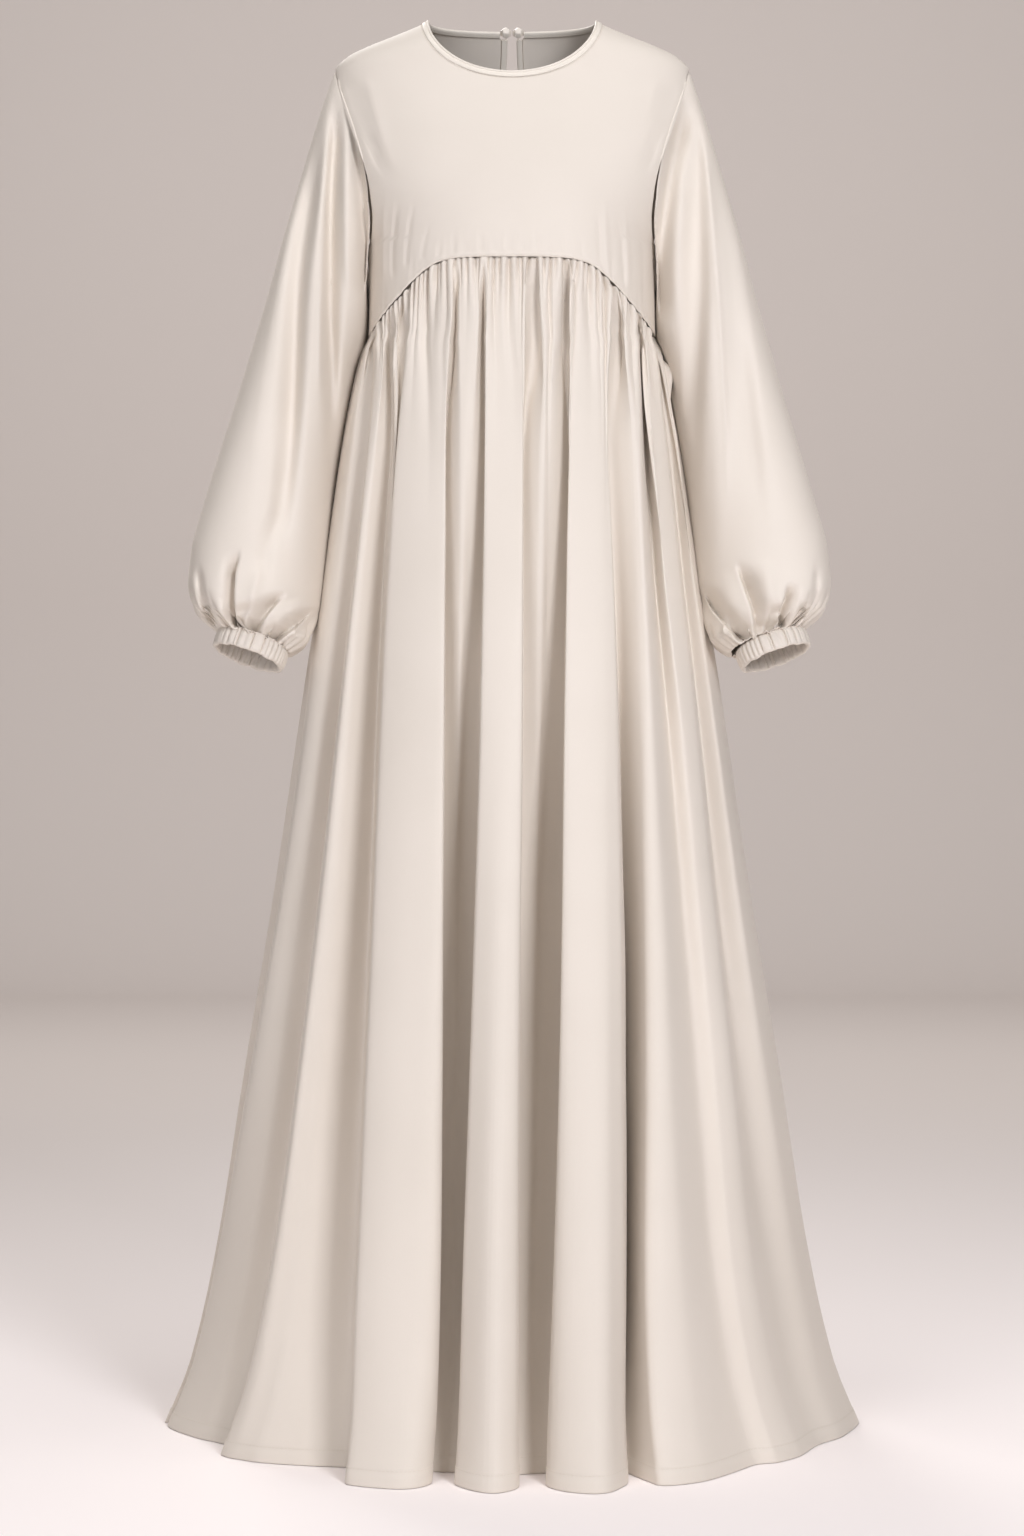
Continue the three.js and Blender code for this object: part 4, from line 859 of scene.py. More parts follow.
@dataclass(frozen=True)
class SkirtPanel:
    """The front or back of the skirt: deep folds that start as fine gathers at the yoke seam."""

    name: str
    side: Side
    lines: tuple[FoldLine, ...]
    gathering: Gathering
    flat: tuple[float, float]
    area: float
    wall_depth: float = 12.0
    wall_shares: tuple[float, ...] = (0, 0.14, 0.3, 0.5, 0.7, 0.86)
    nearest: float = 0.16
    seam_round: float = 0.6
    hem_round: float = 4.2
    round_at: float = 0.3
    fine_steps: int = 2200
    near_seam: tuple[float, ...] = (
        0, 0.7, 1.5, 2.6, 4.2, 6.2, 8.6, 11.5, 15, 19, 23.5, 29, 35, 42, 50, 59, 69, 80, 92, 106,
        122, 139)
    near_hem: tuple[float, ...] = (26, 19, 16.5, 15.5, 14.8, 8, 2, 0.6, 0)
    middle_rows: int = 50
    # The turned-up hem: where its step starts, how wide and high that is, and its stitches.
    hem_edge: float = 14.9
    hem_step: float = 0.8
    hem_rise: float = 0.5
    stitched_at: float = 14.8
    # How far the cloth dips at its edges, and how far that reaches.
    seam_tuck: tuple[float, float] = (1.4, 1.3)
    edge_round: tuple[float, float] = (0.6, 0.5)
    seam_points: int = 721

    def seam(self) -> tuple[Array, Array]:
        """The seam's angles, close together, and the distance along it to each."""
        angles = np.linspace(-90, 90, self.seam_points)
        points = FORM.point(self.side, angles, FORM.seam_drop(self.side, angles))
        steps = np.linalg.norm(np.diff(points, axis=0), axis=1)
        return angles, np.concatenate([[0], np.cumsum(steps)])

    def knots(self) -> Array:
        """Where each fold line starts, as a distance along the seam."""
        return np.interp([line.angles[0] for line in self.lines], *self.seam())

    def columns(self) -> Array:
        """The panel's columns along the seam, with more of them in the walls of the folds."""
        knots = self.knots()
        depths = np.array([line.depths for line in self.lines])
        walls = np.flatnonzero(np.abs(np.diff(depths, axis=0)).max(axis=1) > self.wall_depth)
        steps = np.diff(knots)[walls, None] * np.array(self.wall_shares)
        places = np.sort(np.concatenate([
            self.gathering.columns(knots[-1]), (knots[walls, None] + steps).ravel()]))
        far = np.diff(places, append=places[-1] + 1) > self.nearest
        return np.append(places[far & (places < knots[-1] - self.nearest)], knots[-1])

    def heights(self) -> Array:
        """The heights of its rows, from 0 at the seam to 1 at the hem."""
        length = HEM_DROP - FORM.yoke_drop
        middle = np.linspace(self.near_seam[-1], length - self.near_hem[0], self.middle_rows + 1)
        hem = length - np.array(self.near_hem[1:])
        return np.concatenate([self.near_seam, middle[1:], hem]) / length

    def section(self, places: Array, height: float) -> Array:
        """One row of the folded panel, with sharp folds.

        Args:
            places: Distances along the seam.
            height: The row's height.

        Returns:
            Its points.
        """
        knots = tuple(self.knots())
        angles = [float(Smooth(HEIGHTS, line.angles)(height)) for line in self.lines]
        depths = [float(Smooth(HEIGHTS, (0, *line.depths))(height)) for line in self.lines]
        angle, inset = Smooth(knots, tuple(angles))(places), Smooth(knots, tuple(depths))(places)
        seam_angles, lengths = self.seam()
        start = FORM.seam_drop(self.side, np.interp(places, lengths, seam_angles)) + HALF_GAP
        drop = start + (HEM_DROP - start) * height
        normal = FORM.level_normal(self.side, angle, drop)
        return FORM.point(self.side, angle, drop) - normal * inset[:, None]

    def folded(self, places: Array, heights: Array) -> Array:
        """The panel with its folds, each turn of the cloth rounded.

        Args:
            places: The columns' places along the seam.
            heights: The rows' heights.

        Returns:
            A grid of points.
        """
        fine = np.linspace(0, places[-1], self.fine_steps)
        rows = []
        for height in heights:
            sharp = self.section(fine, height)
            steps = np.linalg.norm(np.diff(sharp, axis=0), axis=1)
            run = np.concatenate([[0], np.cumsum(steps)])
            here = np.interp(places, fine, run)
            eased = ease(height / self.round_at)
            reach = self.seam_round + (self.hem_round - self.seam_round) * eased
            weights = np.exp(-(((here[:, None] - run) / reach) ** 2)) * np.gradient(run)
            rounded = weights @ sharp / weights.sum(axis=1, keepdims=True)
            plain = self.section(places, height)
            to_end = np.minimum(here, run[-1] - here)[:, None]
            rows.append(rounded + (plain - rounded) * np.exp(-((to_end / (2 * reach)) ** 2)))
        return np.array(rows)

    def level_normals(self, grid: Array) -> Array:
        """Level outward normals of the folded cloth."""
        along = np.gradient(grid, axis=1)
        flat = np.stack([-along[..., 1], along[..., 0], 0 * along[..., 0]], axis=-1)
        normals = unit(flat * self.side.value)
        normals[:, 0] = (-1, 0, 0)
        normals[:, -1] = (1, 0, 0)
        return normals

    def grid(self) -> Array:
        """The outer surface of the panel."""
        along, heights = self.columns(), self.heights()
        length = HEM_DROP - FORM.yoke_drop
        below = heights * length
        grid = self.folded(along, heights)
        normals = self.level_normals(grid)
        to_hem = (length - below)[:, None]
        hem = self.hem_rise * (1 - ease((to_hem - self.hem_edge) / self.hem_step))
        tuck_in = soft_ridge(below[:, None], *self.seam_tuck)
        edge = soft_ridge(to_hem, *self.edge_round)
        rise = self.gathering.lift(along, below, along[-1]) + hem - tuck_in - edge
        return settle(self.side, grid + normals * rise[..., None])

    def build(self, material: bpy.types.Material, thread: bpy.types.Material) -> bpy.types.Object:
        """Makes the panel and the row of stitches that holds its hem.

        Args:
            material: The cloth.
            thread: The thread.

        Returns:
            The finished panel.
        """
        grid = self.grid()
        flip = self.side is Side.BACK
        piece = new_piece(f"{self.name}_cloth", grid, grid_faces(*grid.shape[:2], False, flip))
        give_thickness(piece)
        settle_piece(piece, material, (self.name,))
        row = -1 - self.near_hem[::-1].index(self.stitched_at)
        out = grid_normals(grid, closed=False)[row] * self.side.value
        report(StitchRow(self.name, grid[row, 2:-2], out[2:-2], pitch=4.5).build(thread))
        return piece


# The bodice


@dataclass(frozen=True)
class Keyhole:
    """The slit at the centre back, from the neck edge to its round end."""

    top: float = 5.0
    wide: float = 8.5
    wide_drop: float = 80.0
    end: float = 108.0
    spread: float = 0.85
    room: float = 7.0

    def half(self, drop: Array, widen: float) -> Array:
        """Half the slit's width at a drop, widened by the strip that binds it."""
        end = self.end + widen
        fullness = ease((drop - FORM.neck_drop) / (self.wide_drop - FORM.neck_drop))
        half = self.top + (self.wide - self.top) * fullness + widen
        closing = np.clip((end - drop) / (end - self.wide_drop), 0, 1)
        return half * np.sqrt(1 - (1 - closing) ** 2)

    def edge(self, share: Array, widen: float) -> tuple[Array, Array]:
        """The way round the slit's edge.

        Args:
            share: The share of the way, from the top on the wearer's right to that on the left.
            widen: How far outside the slit.

        Returns:
            The x and the drop.
        """
        top = FORM.neck_drop - FORM.neck_back_rise
        end = self.end + widen
        turn = share * np.pi
        drop = top + (end - FORM.neck_drop) * np.maximum(np.sin(turn), 0) ** self.spread
        x = -np.sign(np.cos(turn)) * self.half(drop, widen)
        return np.where(np.abs(share - 0.5) < 1e-6, 0.0, x), drop


KEYHOLE = Keyhole()


@dataclass(frozen=True)
class BodicePanel:
    """The front or back of the bodice, between the neck, shoulders, armholes and yoke seam."""

    name: str
    side: Side
    creases: tuple[Crease, ...]
    flat: tuple[float, float]
    area: float
    skirt: SkirtPanel
    top_influence: float = 0.62
    columns: int = 196
    rows: int = 104
    warp_reach: float = 75.0
    gathers: Gathering = Gathering(52, 5, 1.1, 10.0, width=2.4, rise=0.5)
    ripple_reach: float = 13.0
    # The ridge pressed beside the yoke seam and the dips at the edges, as heights and reaches.
    pressed_at: float = 2.4
    pressed: tuple[float, float] = (0.45, 1.8)
    seam_tuck: tuple[float, float] = (0.9, 0.9)
    side_tuck: tuple[float, float] = (0.8, 1.2)
    top_tuck: tuple[float, float] = (0.5, 1.2)

    def place(self, across: Array, down: Array) -> tuple[Array, Array]:
        """The angle and drop at a share across the panel and a share down it."""
        end = FORM.seam_drop(self.side, np.array(90.0)) - HALF_GAP
        reach = end - FORM.shoulder_drop
        under = (FORM.underarm_drop - FORM.shoulder_drop) / reach
        edge_drop = FORM.shoulder_drop + reach * down
        deep = down / under
        edge = np.where(deep < 1, FORM.armhole_angle(self.side, deep), 90.0)
        level = 2 * across - 1
        hollow = (90.0 - edge) * signed_power(level, 2)
        top_angle, top_drop = FORM.top_edge(self.side, across)
        bottom = FORM.seam_drop(self.side, -90 + 180 * across) - HALF_GAP
        like_top = 1 - ease(down / self.top_influence)
        like_bottom = np.clip((down - under) / (1 - under), 0, 1)
        angle = 90 * level - hollow + like_top * (top_angle - 90 * level)
        drop = (
            edge_drop
            + like_top * (top_drop - FORM.shoulder_drop)
            + like_bottom * (bottom - end)
        )
        return angle, drop

    def across_shares(self) -> Array:
        """The columns' shares, close together at the armholes."""
        inner = np.linspace(0, 1, self.columns - 5)
        edge = np.array([0.0012, 0.0027])
        return np.sort(np.concatenate([inner, edge, 1 - edge, [FORM.neck_start]]))

    def down_shares(self) -> Array:
        """The rows' shares, close together at the edges and at the end of the keyhole."""
        inner = np.linspace(0, 1, self.rows - 8)
        edge = np.array([0.002, 0.0045, 0.0075])
        shares = [inner, edge, 1 - edge]
        if self.side is Side.BACK:
            dense = np.linspace(0, 1, 2000)
            drops = self.place(np.array(0.5), dense)[1]
            end = KEYHOLE.end + KEYHOLE.room
            shares.append(np.interp(end - np.array([0, 0.15, 0.6, 1.4, 2.6, 4.4]), drops, dense))
        return np.unique(np.concatenate(shares))

    def edge_form(self, grid: Array, across: Array) -> Array:
        """How far the cloth stands out near its seams: turned in at the armholes and yoke seam.

        Args:
            grid: The panel's points.
            across: The columns' shares.

        Returns:
            The rise at each point.
        """
        steps = np.linalg.norm(np.diff(grid, axis=1), axis=-1)
        from_right = np.concatenate([np.zeros((len(grid), 1)), np.cumsum(steps, axis=1)], axis=1)
        to_armhole = np.minimum(from_right, from_right[:, -1:] - from_right)
        steps = np.linalg.norm(np.diff(grid, axis=0), axis=-1)
        from_top = np.concatenate([np.zeros((1, grid.shape[1])), np.cumsum(steps, axis=0)])
        above_seam = from_top[-1:] - from_top
        angles, lengths = self.skirt.seam()
        along = np.interp(-90 + 180 * across, angles, lengths)
        gathered = self.gathers.lift(along, np.zeros(1), lengths[-1])
        reach = self.ripple_reach * (1 + 0.6 * np.sin(along / 9))
        gathered = gathered * np.exp(-((above_seam / reach) ** 1.3))
        pressed = soft_ridge(above_seam - self.pressed_at, *self.pressed)
        turned = soft_ridge(above_seam, *self.seam_tuck) + soft_ridge(to_armhole, *self.side_tuck)
        return gathered + pressed - turned - soft_ridge(from_top, *self.top_tuck)

    def build(self, material: bpy.types.Material) -> bpy.types.Object:
        """Makes the panel.

        Args:
            material: The cloth.

        Returns:
            The finished object.
        """
        across, down = self.across_shares(), self.down_shares()
        angle, drop = self.place(across[None, :], down[:, None])
        is_split = self.side is Side.BACK
        middle = len(across) // 2
        if is_split:
            angle, drop = self.split(angle, drop, across)
            across = np.insert(across, middle, across[middle])
        grid = FORM.point(self.side, angle, drop)
        normals = FORM.normal(self.side, np.clip(angle, -89, 89), drop)
        grid = grid + normals * self.edge_form(grid, across)[..., None]
        normals = grid_normals(grid, closed=False) * self.side.value
        grid = settle(self.side, crease_cloth(grid, normals, self.side, self.creases))
        faces = grid_faces(*grid.shape[:2], False, self.side is Side.BACK)
        if is_split:
            width = grid.shape[1]
            slit = {middle, middle + 1}
            faces = [face for face in faces if {p % width for p in face} != slit]
        piece = new_piece(f"{self.name}_cloth", grid, faces)
        if is_split:
            merge_doubles(piece)
        give_thickness(piece)
        settle_piece(piece, material, (self.name,))
        return piece

    def split(self, angle: Array, drop: Array, across: Array) -> tuple[Array, Array]:
        """Parts the centre column to the two edges of the keyhole.

        Args:
            angle: The angles of the whole panel.
            drop: Its drops.
            across: The columns' shares; the middle one is at the centre.

        Returns:
            The angles and drops with the centre column doubled.
        """
        middle = len(across) // 2
        angle = np.insert(angle, middle, angle[:, middle], axis=1)
        drop = np.insert(drop, middle, drop[:, middle], axis=1)
        x = FORM.point(self.side, angle, drop)[..., 0]
        x[:, [middle, middle + 1]] = 0
        sign = np.where(np.arange(angle.shape[1]) <= middle, -1.0, 1.0)
        near = np.clip(1 - np.abs(x) / self.warp_reach, 0, 1) ** 2
        opened = x + sign * near * KEYHOLE.half(drop, KEYHOLE.room)
        return np.where(near > 0, FORM.angle_at(opened, drop), angle), drop


# The sleeves and cuffs

# Sections: how far down, outer x and drop, inner x and drop, reach to the front and back of the
# middle, how far the middle comes forward, and the lift of its front.
SLEEVE_ROWS = (
    (0, 189.5, 55, 155, 248, 62, 62, 0, 0), (0.07, 205, 101, 156, 292, 66, 66, 0, 0),
    (0.15, 225, 169, 158, 336, 72, 70, 0, 0), (0.23, 244, 236, 171, 378, 76, 72, 2, 0),
    (0.31, 260, 296, 180.5, 420, 77, 73, 4, 0), (0.39, 276, 351, 188, 460, 77, 73, 7, 0),
    (0.47, 292, 406, 195, 502, 77, 73, 12, 0), (0.55, 308, 458, 200, 540, 77, 73, 18, 0),
    (0.64, 325, 516, 205, 580, 77, 73, 26, 0), (0.74, 339, 572, 209, 618, 76, 73, 35, 0),
    (0.83, 341, 607, 212, 645, 71, 69, 46, 4), (0.91, 333, 632, 215, 664, 60, 60, 55, 8),
    (0.97, 318, 645, 227, 674, 46, 46, 62, 10.5), (1, 306, 654, 235, 678, 38, 38, 65, 8.5),
)


@dataclass(frozen=True)
class Trough:
    """A long soft trough down a sleeve, at an angle round it at three places along its run."""

    start: float
    end: float
    turns: tuple[float, float, float]
    depth: float
    width: float

    def sink(self, turn: Array, at: Array) -> Array:
        """How deep the trough is at a turn round the sleeve and a share of the way down."""
        along = np.clip((at - self.start) / (self.end - self.start), 0, 1)
        middle = Smooth((0, 0.5, 1), self.turns)(along)
        away = np.abs((turn - middle + 540) % 360 - 180) / self.width
        across = np.where(away < 1, np.cos(np.pi / 2 * np.minimum(away, 1)) ** 2, 0)
        return self.depth * np.maximum(np.sin(np.pi * along), 0) ** 0.7 * across


TROUGHS = (
    Trough(0.04, 0.72, (22, 82, 122), 5, 30),
    Trough(0.03, 0.36, (62, 104, 142), 4, 26),
    Trough(0.04, 0.66, (334, 288, 262), 12, 24),
    Trough(0.05, 0.4, (300, 250, 222), 8, 20),
)


@dataclass(frozen=True)
class RingGathers:
    """Uneven gathers round a tube: how much their edges wander, and the beat that moves them."""

    size: float
    beat: float
    wander: float
    start: float = 0.0

    def edges(self, count: int) -> Array:
        """Where the gathers meet, as turns from 0 to 360 degrees."""
        number = np.arange(count + 1)
        uneven = self.size * np.sin(number * self.beat + np.sin(number * self.wander + self.start))
        uneven[[0, -1]] = 0
        return 360 * (number + uneven) / count

    def columns(self, count: int, steps: int) -> Array:
        """The turns of a mesh's columns, with the same number of even steps in each gather."""
        edges = self.edges(count)
        shares = np.arange(steps) / steps
        return (edges[:-1, None] + np.diff(edges)[:, None] * shares).ravel()


@dataclass(frozen=True)
class Cuff:
    """An elastic cuff: a gathered tube of cloth round a wrist."""

    name: str
    sign: int
    x: float = 270.5
    y: float = -65.0
    drop: float = 666.3
    radius: float = 38.0
    height: float = 20.0
    out_tilt: float = 19.0
    fore_tilt: float = 13.0
    gathers: int = 38
    gather_depth: float = 2.0
    gather_form: RingGathers = RingGathers(0.28, 2.1, 1.7)
    steps: int = 7

    def axes(self) -> tuple[Array, Array, Array]:
        """The way outwards across the cuff, the way to its front and the way to the hand."""
        out, fore = math.radians(self.out_tilt), math.radians(self.fore_tilt)
        axis = np.array([math.sin(out), -math.sin(fore), -math.cos(out) * math.cos(fore)])
        axis = unit(axis)
        across = unit(np.array([1.0, 0, 0]) - axis * axis[0])
        front = unit(np.cross(across, axis))
        return across, front if front[1] < 0 else -front, axis

    def point(self, turn: Array, radius: Array, along: Array) -> Array:
        """A point round the left cuff, at a radius and a distance towards the hand."""
        across, front, axis = self.axes()
        angle = np.radians(turn)
        middle = np.array([self.x, self.y, -self.drop])
        return (
            middle
            + across * (radius * np.cos(angle))[..., None]
            + front * (radius * np.sin(angle))[..., None]
            + axis * (along + 0 * angle)[..., None]
        )

    def section(self) -> tuple[Array, Array, Array]:
        """The cuff's wall as a closed loop.

        Returns:
            The distances outwards and along, and how much of the gathering reaches each.
        """
        rows = (
            (-0.9, -0.4, 0.5), (-0.1, 0.3, 0.7), (0.7, 1.6, 1), (1.3, 4, 1), (1.7, 7, 1),
            (1.9, 10, 1), (1.7, 13, 1), (1.4, 15.5, 0.9), (1.3, 17.3, 0.7), (1.0, 18.8, 0.6),
            (0.2, 19.8, 0.6), (-1.0, 20.4, 0.6), (-2.2, 20.1, 0.6), (-3.0, 19, 0.8),
            (-3.3, 17, 1), (-3.1, 13, 1), (-2.9, 9, 1), (-3, 5, 1), (-2.9, 2, 0.8), (-2.1, 0, 0.5),
        )
        out, along, share = np.array(rows, float).T
        return out, along, share

    def build(self, material: bpy.types.Material) -> bpy.types.Object:
        """Makes the cuff.

        Args:
            material: The cloth.

        Returns:
            The finished object.
        """
        turns = self.gather_form.columns(self.gathers, self.steps)
        i = np.repeat(np.arange(self.gathers), self.steps)
        v = np.tile(np.arange(self.steps) / self.steps, self.gathers)
        deep = self.gather_depth * (1 + 0.4 * np.sin(i * 3.3))
        groove = deep * (1 - np.abs(np.sin(np.pi * v)) ** 0.7)
        out, along, share = self.section()
        wave = 0.5 * np.sin(np.radians(turns) * 9) + 0.35 * np.sin(np.radians(turns) * 14 + 1)
        lip = np.clip(along / self.height, 0, 1) ** 2
        radius = self.radius + out[:, None] - groove[None, :] * share[:, None]
        run = along[:, None] + wave[None, :] * lip[:, None] * 0.8
        grid = self.point(np.broadcast_to(turns, radius.shape), radius, run)
        grid[..., 0] *= self.sign
        grid = np.swapaxes(grid, 0, 1)
        grid = np.concatenate([grid, grid[:1]])
        piece = new_piece(
            f"{self.name}_cloth", grid, grid_faces(*grid.shape[:2], True, self.sign > 0))
        merge_doubles(piece)
        select_only(piece)
        bpy.ops.object.shade_smooth_by_angle(angle=SMOOTH_ANGLE)
        settle_piece(piece, material, (self.name,))
        return piece


def underarm_share(turn: Array) -> Array:
    """How far down the armhole a turn round the sleeve is, from 0 at its top to 1 underneath."""
    return (1 - np.cos(np.radians(turn))) / 2


@dataclass(frozen=True)
class Sleeve:
    """A balloon sleeve from the armhole seam to the cuff."""

    name: str
    cuff: Cuff
    front_creases: tuple[Crease, ...]
    back_creases: tuple[Crease, ...]
    flat: tuple[float, float]
    area: float
    narrowing: float = 0.0
    pull_turn: float = 214.0
    pull_width: float = 42.0
    pull: Smooth = Smooth((0.03, 0.12, 0.4, 0.7, 0.8, 0.9), (0, 10, 11, 17, 14, 0))
    roundness: float = 0.88
    armhole_reach: float = 0.3
    underarm_clear: float = 2.0
    underarm_proud: float = 0.8
    cuff_reach: float = 0.94
    gathers: int = 30
    gather_height: float = 3.6
    gather_form: RingGathers = RingGathers(0.3, 2.2, 1.9, 0.4)
    steps: int = 9
    seam_gap: float = 0.3
    # How the cloth meets its seams: shares of the sleeve's length, and dips in millimetres.
    seam_share: float = 0.02
    armhole_dip: tuple[float, float] = (0.8, 0.0022)
    cuff_dip: tuple[float, float] = (0.9, 0.004)
    cuff_start: float = 0.97
    cuff_run: float = 0.03
    highest_at: float = 0.985
    flattening: float = 0.35
    underarm_from: float = 0.9
    narrow_from: float = 200.0
    narrow_run: float = 360.0

    def ring(self, turn: Array, at: Array) -> Array:
        """A plain section of the left sleeve, with no troughs."""
        out_x, out_drop, in_x, in_drop, front, back, fore, lift = (
            table(SLEEVE_ROWS, column)(at) for column in range(1, 9))
        angle = np.radians(turn)
        cos = signed_power(np.cos(angle), self.roundness)
        sin = signed_power(np.sin(angle), self.roundness)
        reach = np.where(sin > 0, front, back)
        return np.stack(np.broadcast_arrays(
            (out_x + in_x) / 2 + cos * (out_x - in_x) / 2,
            -fore - sin * reach,
            sin * lift - (out_drop + in_drop) / 2 - cos * (out_drop - in_drop) / 2,
        ), axis=-1)

    def armhole(self, turn: Array) -> tuple[Array, Array]:
        """The armhole seam.

        Args:
            turn: The turn round the sleeve.

        Returns:
            The seam's points and the bodice's outward normals there.
        """
        share = underarm_share(turn)
        drop = FORM.shoulder_drop + (FORM.underarm_drop - FORM.shoulder_drop) * share
        points, normals = [], []
        for side in Side:
            angle = FORM.armhole_angle(side, share)
            points.append(FORM.point(side, angle, drop))
            normals.append(FORM.normal(side, angle, drop))
        is_front = (np.sin(np.radians(turn)) >= 0)[..., None]
        return np.where(is_front, points[0], points[1]), np.where(is_front, normals[0], normals[1])

    def surface(self, turn: Array, at: Array) -> Array:
        """The left sleeve's outer surface with its long troughs, but no gathers."""
        plain = self.ring(turn, at)
        near = np.clip(1 - at / self.armhole_reach, 0, 1)
        loop = self.armhole(turn)[0] - self.ring(turn, np.zeros_like(at))
        plain = plain + loop * (near ** 2)[..., None]
        plain[..., 0] += self.underarm_clear * underarm_share(turn) ** 2 * near
        closing = ease((at - self.cuff_reach) / (1 - self.cuff_reach))[..., None]
        rim = self.cuff.point(turn, np.full(turn.shape, self.cuff.radius - 1.0), 0 * at)
        plain = plain + (rim - plain) * closing
        plain[..., 0] -= soft_ridge(turn - self.pull_turn, self.pull(at), self.pull_width)
        middle = (self.ring(0 * turn, at) + self.ring(0 * turn + 180, at)) / 2
        sunk = sum((trough.sink(turn, at) for trough in TROUGHS), np.zeros(turn.shape))
        return plain + unit(middle - plain) * sunk[..., None]

    def gather_rise(self, turn: Array, at: Array) -> Array:
        """How far the gathers above the cuff stand out.

        Args:
            turn: The turn round the sleeve.
            at: The share of the way down it.

        Returns:
            The rise at each point.
        """
        edges = self.gather_form.edges(self.gathers)
        i = np.clip(np.searchsorted(edges, turn, side="right") - 1, 0, self.gathers - 1)
        v = np.clip((turn - edges[i]) / (edges[i + 1] - edges[i]), 0, 1)
        height = self.gather_height * (1 + 0.45 * np.sin(i * 2.9))
        start = 0.84 + 0.06 * np.sin(i * 4.3 + 1)
        risen = ease((at - start) / (self.highest_at - start))
        flattened = 1 - self.flattening * self.at_cuff(at)
        return height * risen * (np.sin(np.pi * v) ** 0.8) * flattened

    def at_cuff(self, at: Array) -> Array:
        """A rise from 0 to 1 over the last of the sleeve, where it meets the cuff."""
        return ease((at - self.cuff_start) / self.cuff_run)

    def rows(self) -> Array:
        """The shares of the rows down the sleeve, close together at both of its seams."""
        return np.concatenate([
            [0, 0.0015, 0.003, 0.006, 0.011], np.linspace(0.018, 0.8, 84),
            np.linspace(0.81, 0.985, 28), [0.99, 0.995, 0.998, 1]])

    def seam_move(self, turn: Array, at: Array) -> Array:
        """How far the cloth near the armhole moves, so that it clears the bodice.

        Args:
            turn: The turn round the sleeve.
            at: The share of the way down it.

        Returns:
            The move of each point.
        """
        seam, seam_normal = self.armhole(turn)
        share = underarm_share(turn)
        outward = np.where((share > self.underarm_from)[..., None],
                           np.array([1.0, 0, 2.0]), np.array([1.0, 0, -0.4]))
        along = np.roll(seam, -1, axis=1) - np.roll(seam, 1, axis=1)
        off = unit(np.cross(along, seam_normal))
        off = off * np.sign(np.sum(off * outward, axis=-1, keepdims=True))
        proud = seam_normal * (self.underarm_proud * share)[..., None]
        close = np.clip(1 - at / self.seam_share, 0, 1)[..., None]
        return (off * self.seam_gap + proud) * close

    def build(self, material: bpy.types.Material) -> bpy.types.Object:
        """Makes the sleeve.

        Args:
            material: The cloth.

        Returns:
            The finished object.
        """
        turn, at = np.meshgrid(self.gather_form.columns(self.gathers, self.steps), self.rows())
        grid = self.surface(turn, at) + self.seam_move(turn, at)
        normals = grid_normals(grid, closed=True)
        dip = soft_ridge(at, *self.armhole_dip) + soft_ridge(1 - at, *self.cuff_dip)
        grid = grid + normals * (self.gather_rise(turn, at) - dip)[..., None]
        grid = grid - self.cuff.axes()[2] * (self.seam_gap * self.at_cuff(at))[..., None]
        narrowed = ease((-grid[..., 2] - self.narrow_from) / self.narrow_run)
        grid[..., 0] -= self.narrowing * narrowed
        grid[..., 0] *= self.cuff.sign
        normals = grid_normals(grid, closed=True) * self.cuff.sign
        grid = crease_cloth(grid, normals, Side.FRONT, self.front_creases)
        grid = crease_cloth(grid, normals, Side.BACK, self.back_creases)
        faces = grid_faces(*grid.shape[:2], True, self.cuff.sign > 0)
        piece = new_piece(f"{self.name}_cloth", grid, faces)
        give_thickness(piece)
        settle_piece(piece, material, (self.name,))
        return piece


# The bindings, stitches and knobs

# How often the normals and the ways off the panel are evened out along an edge.
NORMAL_PASSES = 12
EDGE_PASSES = 6


@dataclass(frozen=True)
class Stations:
    """Points along the edge of a panel, with the panel's normal and the way off the panel."""

    points: Array
    normals: Array
    off: Array

    def place(self, out: float, rise: float) -> Array:
        """The points moved off the panel and out of its surface."""
        return self.points + self.off * out + self.normals * rise


def smooth_along(values: Array, passes: int) -> Array:
    """Evens out vectors along a line, with its ends kept.

    Args:
        values: One vector a station.
        passes: How many times.

    Returns:
        The evened vectors, at length 1.
    """
    for _ in range(passes):
        values[1:-1] = (values[:-2] + 2 * values[1:-1] + values[2:]) / 4
    return unit(values)


def stations_along(points: Array, normals: Array, toward: Array) -> Stations:
    """Stations along an edge.

    Args:
        points: The edge.
        normals: The panel's outward normals there.
        toward: The side of the edge that is off the panel.

    Returns:
        The stations.
    """
    normals = smooth_along(normals.copy(), NORMAL_PASSES)
    off = unit(np.cross(np.gradient(points, axis=0), normals))
    off = off * np.where(np.sum(off * toward, axis=-1, keepdims=True) < 0, -1.0, 1.0)
    return Stations(points, normals, smooth_along(off, EDGE_PASSES))


@dataclass(frozen=True)
class Binding:
    """A bias strip round an edge: a flat band with a rolled rim where it turns over the edge."""

    name: str
    stations: Stations

    def section(self) -> Array:
        """The strip's cross section: how far off the panel, and how far out of its surface."""
        return np.array((
            (-0.9, 0.25), (-0.6, 0.85), (0.2, 1.05), (1.6, 1.1), (3.0, 1.0), (3.7, 0.75),
            (4.05, 0.45), (4.4, 0.7), (4.9, 1.15), (5.6, 1.3), (6.3, 1.1), (6.8, 0.5),
            (7.0, -0.3), (6.9, -1.2), (6.5, -2.0), (5.6, -2.55), (4.0, -2.65), (2.0, -2.6),
            (0.9, -2.5), (0.6, -1.2), (0.5, -0.1),
        ))

    def build(self, material: bpy.types.Material) -> bpy.types.Object:
        """Makes the strip.

        Args:
            material: The cloth.

        Returns:
            The finished object.
        """
        rings = [self.stations.place(out, rise) for out, rise in self.section()]
        grid = np.stack(rings, axis=1)
        piece = new_piece(f"{self.name}_strip", grid, capped_tube(*grid.shape[:2]))
        face_outwards(piece)
        settle_piece(piece, material, (self.name,))
        return piece


